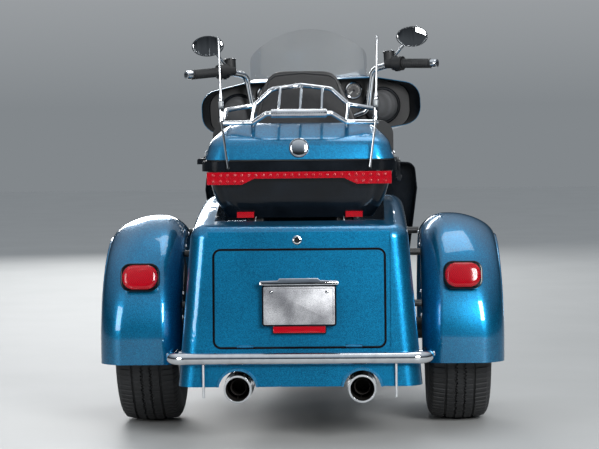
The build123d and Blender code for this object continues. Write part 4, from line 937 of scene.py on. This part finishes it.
class TRIKE_OT_trunk_trim(bpy.types.Operator):
    """Makes the lock, the bolts of fenders and bumper, the door's seal, widened as painted shade in its gap,
    and the sooted insides of the tips
    """
    bl_idname = "trike.trunk_trim"
    bl_label = "Trunk trim"

    def execute(self, context):
        heap = bmesh.new()
        barrel = [(0, 0), (15.5, 0), (15.5, 2.2), (13.5, 4.6), (10.5, 5.4), (9.6, 4.2), (0, 4.2)]
        add_turned(heap, barrel, on_door(LOCK_SIDE, LOCK_HEIGHT, DOOR_RECESS - 0.2), 40)
        for _, side in SIDES:
            for angle in FENDER_BOLT_ANGLES:
                back, rise = FENDER_BOLT_REACH * cos(radians(angle)), FENDER_BOLT_REACH * sin(radians(angle))
                place = spot(side * STUB_FACE, -back, HUB_HEIGHT + rise)
                add_bolt(heap, seat_at(place, (0, 1, 0), (-side, 0, 0)), 5.5)
            add_bolt(heap, seat_at(spot(side * 444, -548, 295), (0, 1, 0), (side, 0, 0)), 7)
        show(heap, "lock_and_bolts", polished_chrome, "chassis")
        heap = bmesh.new()
        # A black seal drawn wide in the door's gap so that the gap reads dark: a real seal, widened as
        # painted shade.
        gap_shade_seal = [(-0.6, -9), (-0.6, -4.0), (-2, -3.0), (-6.4, -3.0), (-7.8, -4.0), (-7.8, -6)]
        add_band(heap, rounded(560, 317, 20, 8), on_door(0, 158.5, 0), gap_shade_seal)
        show(heap, "door_seal_and_gap_shade", black_gloss_and_painted_shade, "chassis")
        heap = bmesh.new()
        add_slab(heap, rounded(2.2, 9, 1, 3), 0.8, on_door(LOCK_SIDE, LOCK_HEIGHT, DOOR_RECESS + 4))
        for _, side in SIDES:
            mouth = seat_at(mirrored(spot(*PIPE_MOUTH), side))
            add_turned(heap, [(39.7, -0.6), (39.7, -148), (0, -148)], mouth)
            add_turned(heap, [(24, -60), (27, -60), (27, -148), (24, -148), (24, -60)], mouth, 36)
            for k in range(3):
                vane = moved(spun(mouth, 2 * pi * k / 3 + 0.4), 33, 0, -120)
                add_slab(heap, rounded(13.4, 3, 1, 2), 40, vane)
        show(heap, "pipe_insides", sooted_steel, "chassis")
        return {"FINISHED"}


# The lid of the top case: height, half width, rear and front, in mm
LID_ROWS = [(946, 321, -476, 16), (1010, 302, -462, 4), (1066, 240, -335, -80), (1067.5, 120, -260, -150)]
LID_CORNER = 62
LID_WALL = 4


def lid_ring(row, inset, drop):
    """The outline of the lid at one height"""
    height, half, rear, front = row
    outline = rounded(2 * half, front - rear, LID_CORNER, 10)
    middle = seat_at(spot(0, (rear + front) / 2, height - drop), z_dir=(0, 0, 1))
    return placed(outline, middle, [(inset, 0)])[0]


class TRIKE_OT_case_lid(bpy.types.Operator):
    """Makes the moulded lid of the top case, its edges eased, with the knuckles of its hinge"""
    bl_idname = "trike.case_lid"
    bl_label = "Top case lid"

    def execute(self, context):
        heap = bmesh.new()
        rows = softened(LID_ROWS)
        outer = [lid_ring(row, 0, 0) for row in rows]
        inner = [lid_ring(row, LID_WALL, LID_WALL * min(1, k / 3)) for k, row in enumerate(rows)]
        for rings in (outer, inner, [outer[0], inner[0]]):
            add_rings(heap, rings, cap=False)
        for rings in (outer, inner):
            heap.faces.new([heap.verts.new(point) for point in rings[-1]])
        lid = show(heap, "top_case_lid_moulded", teal_metallic_lacquer, "case_lid")
        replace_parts(lid, "top_case_lid")
        carried("top_case_lid", "lid_knuckles", "case_lid", lambda co: co.x < mm(-322) and co.z < mm(951))
        return {"FINISHED"}


# On the right side: a hook under the tub, and an antenna's foot, joint and tip
HOOK = [(150, -448, 752), (150, -462, 742), (146, -470, 728), (126, -472, 722)]
ANTENNA = [(258, -494, 1073), (260, -494, 1155), (265, -494, 1356.4)]
# Up the ferrule and up the rod: share of its length and radius
FERRULE = [(0, 8.2), (0.02, 9.4), (0.16, 9.4), (0.18, 8.6), (0.80, 8.6), (0.82, 9.2), (0.95, 9.2), (1, 7)]
ROD = [(0, 7), (0.05, 6.6), (0.09, 4.2), (0.94, 3.6), (0.945, 4.6), (0.96, 5.2), (0.985, 5.2), (0.996, 3.6),
       (1, 1.2)]


class TRIKE_OT_case_trim(bpy.types.Operator):
    """Makes the bare badge, gasket, latches, hooks, rack sleeve and antenna ferrules of the top case"""
    bl_idname = "trike.case_trim"
    bl_label = "Top case trim"

    def execute(self, context):
        heap = bmesh.new()
        dish = [(0, 3.2), (24, 3.2), (27, 2.2), (28.5, 4.6), (31.5, 4.8), (33.5, 2.6), (33.8, -0.5)]
        add_turned(heap, dish, seat_at(spot(0, -467.4, 984), z_dir=(0, -64, 14)), 56)
        for ahead in (-360, -100):
            strap = seat_at(spot(-319.5, ahead, 965), (0, -1, 0), (-1, 0, 0.12))
            add_slab(heap, rounded(70, 20, 6), 3, strap, 1.2)
        add_slab(heap, rounded(30, 16, 4), 5, seat_at(spot(318.5, -400, 962), (0, 1, 0), (1, 0, 0.3)), 1.5)
        show(heap, "badge_and_keepers", polished_chrome, "case_lid")
        heap = bmesh.new()
        gasket = ((0, 0), (0, 5.4), (7, 5.4), (7, 0), (0, 0))
        add_band(heap, rounded(630, 480, 56, 8), seat_at(spot(0, -230, 941.2), z_dir=(0, 0, 1)), gasket)
        show(heap, "lid_gasket", moulded_tyre_rubber, "case_lid")
        heap = bmesh.new()
        for ahead in (-400, -60):
            lever = seat_at(spot(330.6, ahead, 904), (0, 1, 0), (1, 0, 0))
            add_slab(heap, rounded(26, 74, 8), 11, lever, 3)
            add_slab(heap, rounded(18, 12, 5), 5, moved(lever, 0, -22, 10.5), 2)
        show(heap, "latch_levers", black_gloss_and_painted_shade, "chassis")
        fittings, rods = bmesh.new(), bmesh.new()
        for _, side in SIDES:
            add_rod(fittings, eased([mirrored(spot(*place), side) for place in HOOK], 6), 4, 10)
            foot, joint, tip = (mirrored(spot(*place), side) for place in ANTENNA)
            add_rod(fittings, [foot.lerp(joint, k) for k, _ in FERRULE], [r for _, r in FERRULE], 20)
            add_rod(rods, [joint.lerp(tip, k) for k, _ in ROD], [r for _, r in ROD], 16)
        show(fittings, "hooks_and_ferrules", polished_chrome, "chassis")
        show(rods, "antenna_rods", drawn_stainless_rod, "chassis")
        heap = bmesh.new()
        sleeve = [(12.6, 0)]
        for k in range(23):
            sleeve += [(13.4, 8 * k + 0.6), (15.2, 8 * k + 1.8), (15.2, 8 * k + 5.4), (13.4, 8 * k + 6.6)]
        add_turned(heap, sleeve + [(12.6, 184)], seat_at(spot(-92, -436, 1100), (0, 1, 0), (1, 0, 0)), 28)
        show(heap, "rack_sleeve", polished_chrome, "case_lid")
        return {"FINISHED"}


GRIP_END = spot(486, 997, 1273)
GRIP_START = spot(345, 1089, 1282)
GRIP_WAY = (GRIP_END - GRIP_START).normalized()
# The way up of a reservoir's cap, and each button's angle about the bar and size in mm
CAP_UP = (0, 0.16, 0.99)
BUTTONS = ((2.3, 10), (2.6, 12), (2.9, 9), (3.2, 14), (3.5, 10), (3.8, 11), (4.2, 9))


class TRIKE_OT_bar_ends(bpy.types.Operator):
    """Makes the ribbed grips, chrome levers, switch clusters and reservoir caps"""
    bl_idname = "trike.bar_ends"
    bl_label = "Bar ends"

    def execute(self, context):
        rubber, bright, dark = bmesh.new(), bmesh.new(), bmesh.new()
        sleeve = [(18.2, 0), (21.5, 0.5), (21.5, 4), (18.9, 5)]
        for k in range(14):
            sleeve += [(18.8, 8 * k + 8), (19.6, 8 * k + 9.2), (19.6, 8 * k + 12.6), (18.8, 8 * k + 13.8)]
        sleeve += [(18.9, 122), (19.8, 124), (19.8, 127.4), (18.2, 127.8)]
        weight = [(16.8, 128.3), (17.6, 129.5), (17.6, 150), (16.4, 154), (13, 156.6), (0, 157.4)]
        for _, side in SIDES:
            way, end = mirrored(GRIP_WAY, side), mirrored(GRIP_END, side)
            place = seat_at(end - way * mm(128), (0, 0, 1), way)
            add_turned(rubber, sleeve, place, 32)
            add_turned(bright, weight, place, 32)
            outer, inner = end - way * mm(20), end - way * mm(165)
            reach = Vector((0, mm(62), mm(6)))
            lever = [inner + Vector((0, mm(22), mm(6))), inner + reach * 0.82 + way * mm(6),
                     inner + reach + way * mm(30), inner.lerp(outer, 0.6) + reach + Vector((0, mm(3), 0)),
                     outer + reach, outer + reach + way * mm(8)]
            path = eased(lever, 7)
            add_rod(bright, path, [7.4] * (len(path) - 2) + [9.4, 7], 14)
            cup = seat_at(end - way * mm(190) + Vector((0, mm(14), mm(44))), (1, 0, 0), CAP_UP)
            add_turned(dark, [(24.2, -0.3), (24.6, 3.2), (22, 5.2), (0, 5.6)], cup, 28)
            for k in range(4):
                add_bolt(bright, moved(spun(cup, pi / 2 * k + 0.8), 18, 0, 5.2), 2.4)
            body = seat_at(end - way * mm(150), (0, 0, 1), way)
            for k, (turn, size) in enumerate(BUTTONS):
                button = moved(spun(body, turn), 28, 0, -10 + 8 * (k % 3)) @ Matrix.Rotation(pi / 2, 4, "Y")
                add_slab(dark, rounded(size, 9, 2.5, 3), 5, button, 1.5)
        show(rubber, "grip_sleeves", ribbed_grip_rubber, "steering")
        show(bright, "levers_and_caps", polished_chrome, "steering")
        show(dark, "switches_and_covers", black_gloss_and_painted_shade, "steering")
        return {"FINISHED"}


# The fairing's sections: ahead, top half, top, wing half, wing top, wing foot, chin half and chin foot, in mm
FAIRING_ROWS = [
    (1165, 270, 1232, 455, 1195, 1035, 250, 1010), (1330, 230, 1245, 400, 1185, 1030, 190, 950),
    (1490, 110, 1130, 200, 1090, 950, 100, 890),
]
FAIRING_RADII = {"chin": 30, "foot": 75, "wing": 72, "top": 58}
# Its skins from the rear rim to the nose: rows of ahead and inset
FAIRING_OUTSIDE = [(1165, 3), (1166, 1), (1169, 0), (1250, 0), (1330, 0), (1410, 0), (1482, 0), (1487, 2),
                   (1490, 8)]
FAIRING_INSIDE = [(1165, 3), (1166, 4), (1250, 4), (1330, 4), (1410, 4), (1486, 4)]
# The opening for the fork: half width, rear, front, foot and head
FORK_HALF, FORK_REAR, FORK_FRONT, FORK_FOOT, FORK_HEAD = 170, 1140, 1440, 840, 1028
# Gauges and speakers: x, height and radius; and the height of the screen
GAUGES = [(-80, 1172, 58), (80, 1172, 58), (-185, 1180, 36), (185, 1180, 36)]
SPEAKERS = [(-300, 1112, 76), (300, 1112, 76)]
SCREEN_HEIGHT = 1075
# The plane of the gauges, and the rear and front of the panel ahead of them
DASH_FACE, DASH_REAR, DASH_FRONT = 1250, 1262, 1270


def fairing_ring(ahead, inset):
    """The outline of the fairing at one distance ahead, drawn in by an inset"""
    low, high = FAIRING_ROWS[:2] if ahead <= FAIRING_ROWS[1][0] else FAIRING_ROWS[1:]
    row = between(low, high, (ahead - low[0]) / (high[0] - low[0]))
    _, top_half, top, wing_half, wing_top, wing_foot, chin_half, chin_foot = row
    right = [(chin_half, chin_foot, "chin"), (wing_half, wing_foot, "foot"), (wing_half, wing_top, "wing"),
             (top_half, top, "top")]
    corners = right + [(-x, y, kind) for x, y, kind in reversed(right)]
    return shrunk(filleted([(x, y, FAIRING_RADII[kind]) for x, y, kind in corners]), inset)


def add_fairing_skin(heap, rows):
    """A skin of the fairing, closed at the nose"""
    rings = [[spot(x, ahead, z) for x, z in fairing_ring(ahead, inset)] for ahead, inset in rows]
    heap.faces.new(add_rings(heap, rings, cap=False)[-1])


def cut_fork_opening(context, shell):
    """Opens the fairing's chin and floor where the fork passes"""
    heap = bmesh.new()
    corners = ((-FORK_HALF, FORK_REAR), (FORK_HALF, FORK_REAR), (FORK_HALF, FORK_FRONT),
               (-FORK_HALF, FORK_FRONT))
    add_rings(heap, [[spot(x, ahead, z) for x, ahead in corners] for z in (FORK_FOOT, FORK_HEAD)])
    bmesh.ops.recalc_face_normals(heap, faces=heap.faces)
    mesh = bpy.data.meshes.new("fork_opening")
    heap.to_mesh(mesh)
    heap.free()
    mesh.transform(STEER)
    cutter = bpy.data.objects.new("fork_opening", mesh)
    context.scene.collection.objects.link(cutter)
    cut = shell.modifiers.new("opening", "BOOLEAN")
    cut.object, cut.operation, cut.solver = cutter, "DIFFERENCE", "EXACT"
    context.view_layer.update()
    shell.data = bpy.data.meshes.new_from_object(shell.evaluated_get(context.evaluated_depsgraph_get()))
    shell.modifiers.clear()
    bpy.data.objects.remove(cutter)


class TRIKE_OT_fairing(bpy.types.Operator):
    """Makes the fairing, lacquered outside and black inside, and the panel of its dash"""
    bl_idname = "trike.fairing"
    bl_label = "Fairing"

    def execute(self, context):
        heap = bmesh.new()
        add_fairing_skin(heap, FAIRING_OUTSIDE)
        painted = set(heap.faces)
        add_fairing_skin(heap, FAIRING_INSIDE)
        for face in heap.faces:
            face.material_index = 0 if face in painted else 1
        shell = show(heap, "fairing_moulded", teal_metallic_lacquer, "steering")
        shell.data.materials.append(material(black_gloss_and_painted_shade))
        cut_fork_opening(context, shell)
        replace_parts(shell, "fairing_shell")
        heap = bmesh.new()
        outline = fairing_ring((DASH_REAR + DASH_FRONT) / 2, 4.5)
        lowest = min(range(len(outline)), key=lambda k: (outline[k][1] > 985, abs(outline[k][0] - 190)))
        points = outline[lowest:] + outline[:lowest]
        points = [p for p in points if p[1] > FORK_HEAD or abs(p[0]) > FORK_HALF + 1]
        points += [(-FORK_HALF - 1, FORK_HEAD), (FORK_HALF + 1, FORK_HEAD)]
        add_rings(heap, [[spot(x, ahead, z) for x, z in points] for ahead in (DASH_REAR, DASH_FRONT)])
        for x, height, radius in GAUGES + SPEAKERS:
            add_slab(heap, ring(radius, 56), 12.6, seat_at(spot(x, DASH_REAR + 0.6, height)), 2)
        add_slab(heap, rounded(176, 78, 10), 12.6, seat_at(spot(0, DASH_REAR + 0.6, SCREEN_HEIGHT)), 2)
        dash = show(heap, "dash_panel", black_grained_plastic, "steering")
        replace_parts(dash, "fairing_dash")
        return {"FINISHED"}


class TRIKE_OT_dash(bpy.types.Operator):
    """Makes the gauges, speaker grilles and screen of the fairing's inner side"""
    bl_idname = "trike.dash"
    bl_label = "Dash"

    def execute(self, context):
        bright, dial, ink, grille, dark = (bmesh.new() for _ in range(5))
        for x, height, radius in GAUGES:
            face = seat_at(spot(x, DASH_FACE, height))
            bezel = [(radius + 0.5, -1), (radius + 1, 3), (radius - 2, 6), (radius - 6, 5), (radius - 8, 0.4)]
            add_turned(bright, bezel, face)
            add_slab(dial, ring(radius - 6, 48), 1, moved(face, 0, 0, -0.2))
            count = 24 if radius > 40 else 12
            for k in range(count + 1):
                length = 7 if k % 4 == 0 else 4
                tick = moved(spun(face, radians(225 - 270 * k / count)), radius - 11 - length / 2, 0, 0.9)
                add_slab(ink, rounded(length, 1.2, 0.4, 2), 0.3, tick)
            needle = moved(spun(face, radians(215)), radius * 0.3, 0, 2.4)
            add_slab(ink, rounded(radius * 0.72, 1.8, 0.8, 2), 0.6, needle)
            add_turned(dark, [(5.5, 0.5), (5.5, 4), (3.5, 5.2), (0, 5.4)], face, 20)
        for x, height, radius in SPEAKERS:
            face = seat_at(spot(x, DASH_FACE, height))
            lip = [(radius + 1, -1), (radius + 2, 4), (radius - 2, 9), (radius - 7, 9), (radius - 10, 3)]
            add_turned(dark, lip, face, 56)
            add_dome(grille, ring(radius - 9, 48), 8, moved(face, 0, 0, 0.4), 6)
        screen = seat_at(spot(0, DASH_FACE, SCREEN_HEIGHT))
        add_slab(dark, rounded(180, 82, 11), 6, moved(screen, 0, 0, -1), 3)
        add_slab(dial, rounded(150, 60, 4), 0.8, moved(screen, 0, 0, 4.8), 0.3)
        show(bright, "gauge_bezels", polished_chrome, "steering")
        show(dial, "dials_and_screen", enamel_dial, "steering")
        show(ink, "dial_marks", printed_white, "steering")
        show(grille, "speaker_grilles", perforated_grille, "steering")
        show(dark, "speaker_rings", black_gloss_and_painted_shade, "steering")
        return {"FINISHED"}


# Front lamps: x, ahead, height and radius of each glass, and the depth of its straight side, in mm
FRONT_LAMPS = [(0, 1518, 1010, 83, 17), (-172, 1464, 858, 50, 1), (172, 1464, 858, 50, 1)]


class TRIKE_OT_front_lamps(bpy.types.Operator):
    """Makes the glasses and rims of the front lamps"""
    bl_idname = "trike.front_lamps"
    bl_label = "Front lamps"

    def execute(self, context):
        glass, bright = bmesh.new(), bmesh.new()
        for x, ahead, height, radius, depth in FRONT_LAMPS:
            face = seat_at(spot(x, ahead, height), (-1, 0, 0), (0, 1, 0))
            add_dome(glass, ring(radius, 56), radius * 0.2, face, 7, 2.0, (-0.5, depth), 0.3)
            lip = depth * 0.6 + 6
            rim = [(radius + 7.5, -6), (radius + 8.2, 2), (radius + 5, lip), (radius - 1, lip - 1),
                   (radius - 1.5, 0)]
            add_turned(bright, rim, face, 56)
        show(glass, "front_lamp_glasses", lens_polycarbonate, "steering")
        show(bright, "front_lamp_rims", polished_chrome, "steering")
        return {"FINISHED"}


# The engine in mm: place of the crank and the gearbox, half the case's width and the lean of each cylinder
CRANK_AHEAD, CRANK_HEIGHT, CASE_HALF, V_LEAN = 960, 300, 95, 22.5
GEARBOX_AHEAD, GEARBOX_HEIGHT = 700, 320
ARC_STEP = 8


class TRIKE_OT_engine_trim(bpy.types.Operator):
    """Makes the polished covers of the crankcase and rockers with their bolts"""
    bl_idname = "trike.engine_trim"
    bl_label = "Engine trim"

    def execute(self, context):
        plain, bright = bmesh.new(), bmesh.new()
        left = seat_at(spot(-CASE_HALF - 85.2, GEARBOX_AHEAD, GEARBOX_HEIGHT), (0, -1, 0), (-1, 0, 0))
        # The primary cover is a belt round two arcs: x, y, radius and the first and last angle of each
        run, rise = CRANK_AHEAD - GEARBOX_AHEAD, CRANK_HEIGHT - GEARBOX_HEIGHT
        outline = []
        for cx, cy, radius, first, last in ((0, 0, 108, -92, 92), (-run, rise, 80, 94, 270)):
            for turn in range(first, last + 1, ARC_STEP):
                outline.append((cx + radius * cos(radians(turn)), cy + radius * sin(radians(turn))))
        add_slab(plain, outline, 7, left, 3)
        for x, y in shrunk(outline, 9)[::4]:
            add_bolt(bright, moved(left, x, y, 6.8), 4.6)
        cap = [(86, -6), (86, 8), (82, 12.5), (60, 15), (0, 16)]
        add_turned(bright, cap, moved(left, 0, 0, 1), 64)
        for k in range(5):
            add_bolt(bright, moved(spun(left, 2 * pi * k / 5 + 0.3), 68, 0, 15), 4)
        right = seat_at(spot(CASE_HALF + 41.8, CRANK_AHEAD, CRANK_HEIGHT), (0, 1, 0), (1, 0, 0))
        corners = [(-95, -50, 14), (95, -50, 14), (104, 18, 16), (54, 118, 18), (-54, 118, 18),
                   (-104, 18, 16)]
        add_slab(plain, filleted(corners, 5), 6, right, 2.5)
        for x, y, _ in corners:
            add_bolt(bright, moved(right, x * 0.86, y * 0.84, 5.8), 4.6)
        add_turned(bright, [(47, 5), (47, 10), (43, 13.5), (0, 14.5)], right)
        crank = spot(0, CRANK_AHEAD, CRANK_HEIGHT)
        for lean in (-V_LEAN, V_LEAN):
            up = Vector((0, sin(radians(lean)), cos(radians(lean))))
            top, base = seat_at(crank + up * mm(407.8), z_dir=up), seat_at(crank + up * mm(361.5), z_dir=up)
            add_slab(bright, rounded(118, 82, 20), 5, top, 3)
            add_slab(bright, rounded(156, 120, 32), 7, base, 2)
            for x in (-48, 48):
                for y in (-30, 30):
                    add_bolt(bright, moved(top, x, y, 4.8), 4.4)
        show(plain, "engine_covers", cast_aluminium, "chassis")
        show(bright, "engine_caps_and_bolts", polished_chrome, "chassis")
        return {"FINISHED"}


# Lights: name, place, target, size and power
LIGHTS = [
    ("key", (3.2, -7.5, 3.4), (0, -0.6, 0.6), 2.6, 640.0),
    ("fill", (-5.0, -6.5, 2.6), (0, 0, 0.6), 3.0, 230.0),
    ("top", (1.0, 0.5, 6.5), (0, 0, 0.6), 3.0, 80.0),
    ("rim", (-1.5, 7.0, 3.2), (0, 0, 0.8), 3.0, 260.0),
]
# What the surfaces mirror and what the camera sees behind them, by the height of the look
SKY = [(0.0, "#4a4e52"), (0.16, "#202327"), (0.42, "#8f9aa6"), (0.8, "#eef4fa")]
WALL = [(0.0, "#82878b"), (0.12, "#b2b5b8"), (0.4, "#c6c9cb")]
# The camera that was fitted to the picture: place in metres, then yaw, pitch and roll in degrees
CAMERA_PLACE = (0.20831, -8.16245, 1.12640)
CAMERA_YAW, CAMERA_PITCH, CAMERA_ROLL = 1.7040, 3.2548, 0.6079
CAMERA_LENS = 125.77


def add_light(scene, name, place, target, size, power):
    """A square soft light aimed at a target, not seen itself"""
    light = bpy.data.lights.new(name, "AREA")
    light.shape = "SQUARE"
    light.size = size
    light.energy = power
    lamp = bpy.data.objects.new(name, light)
    lamp.location = place
    lamp.rotation_euler = (Vector(target) - lamp.location).to_track_quat("-Z", "Y").to_euler()
    lamp.visible_camera = lamp.visible_transmission = False
    scene.collection.objects.link(lamp)


def make_world():
    """Dark screens round the studio under a pale ceiling, with a plain wall for the camera"""
    world = bpy.data.worlds.new("studio")
    world.use_nodes = True
    tree = world.node_tree
    tree.nodes.clear()
    rise = put(tree, "ShaderNodeTexCoord").outputs["Generated"]
    height = put(tree, "ShaderNodeSeparateXYZ", {0: rise}).outputs["Z"]
    glow = put(tree, "ShaderNodeBackground", {"Color": ramp(tree, height, SKY)}, {"Strength": 0.85})
    wall = put(tree, "ShaderNodeBackground", {"Color": ramp(tree, height, WALL)}, {"Strength": 1.0})
    seen = put(tree, "ShaderNodeLightPath").outputs["Is Camera Ray"]
    both = put(tree, "ShaderNodeMixShader", {0: seen, 1: glow.outputs[0], 2: wall.outputs[0]})
    put(tree, "ShaderNodeOutputWorld", {"Surface": both.outputs[0]})
    return world


def make_camera():
    """The camera at the picture's angle"""
    lens = bpy.data.cameras.new("camera")
    lens.lens = CAMERA_LENS
    lens.sensor_width = 36
    camera = bpy.data.objects.new("camera", lens)
    yaw, pitch, roll = radians(CAMERA_YAW), radians(CAMERA_PITCH), radians(CAMERA_ROLL)
    view = Vector((-sin(yaw) * cos(pitch), cos(yaw) * cos(pitch), -sin(pitch)))
    side = Vector((cos(yaw), sin(yaw), 0))
    up = side.cross(view)
    right = side * cos(roll) - up * sin(roll)
    above = side * sin(roll) + up * cos(roll)
    turned = Matrix((right, above, -view)).transposed().to_4x4()
    camera.matrix_world = Matrix.Translation(CAMERA_PLACE) @ turned
    return camera


class TRIKE_OT_stage(bpy.types.Operator):
    """Sets the floor, the soft lights and the camera"""
    bl_idname = "trike.stage"
    bl_label = "Stage"

    def execute(self, context):
        scene = context.scene
        half = scene.trike_sizes.floor_size / 2
        mesh = bpy.data.meshes.new("studio_floor")
        corners = [(-half, -half, 0), (half, -half, 0), (half, half, 0), (-half, half, 0)]
        mesh.from_pydata(corners, [], [(0, 1, 2, 3)])
        mesh.materials.append(material(studio_floor_paint))
        floor = bpy.data.objects.new("studio_floor", mesh)
        scene.collection.objects.link(floor)
        for row in LIGHTS:
            add_light(scene, *row)
        scene.world = make_world()
        scene.view_settings.view_transform = "Standard"
        scene.camera = make_camera()
        scene.collection.objects.link(scene.camera)
        return {"FINISHED"}


OPERATORS = [
    TRIKE_OT_finishes, TRIKE_OT_tyres, TRIKE_OT_upholstery, TRIKE_OT_fenders, TRIKE_OT_rear_lamps,
    TRIKE_OT_plate, TRIKE_OT_trunk_trim, TRIKE_OT_case_lid, TRIKE_OT_fairing, TRIKE_OT_case_trim,
    TRIKE_OT_bar_ends, TRIKE_OT_dash, TRIKE_OT_front_lamps, TRIKE_OT_engine_trim, TRIKE_OT_stage,
]


class TRIKE_PT_panel(bpy.types.Panel):
    """Lists the pieces in the sidebar"""
    bl_idname = "TRIKE_PT_panel"
    bl_label = "Touring trike"
    bl_space_type = "VIEW_3D"
    bl_region_type = "UI"
    bl_category = "Trike"

    def draw(self, context):
        for group in (context.scene.trike_sizes, context.scene.trike_colours):
            for name in group.bl_rna.properties.keys():
                if name not in ("rna_type", "name"):
                    self.layout.prop(group, name)
        for operator in OPERATORS:
            self.layout.operator(operator.bl_idname)


CLASSES = [TrikeSizes, TrikeColours] + OPERATORS + [TRIKE_PT_panel]


def register():
    for cls in CLASSES:
        bpy.utils.register_class(cls)
    bpy.types.Scene.trike_sizes = bpy.props.PointerProperty(type=TrikeSizes)
    bpy.types.Scene.trike_colours = bpy.props.PointerProperty(type=TrikeColours)


def unregister():
    del bpy.types.Scene.trike_colours
    del bpy.types.Scene.trike_sizes
    for cls in reversed(CLASSES):
        bpy.utils.unregister_class(cls)


def main():
    """Makes every piece in order"""
    register()
    for operator in OPERATORS:
        group, name = operator.bl_idname.split(".")
        getattr(getattr(bpy.ops, group), name)()


if __name__ == "__main__":
    main()
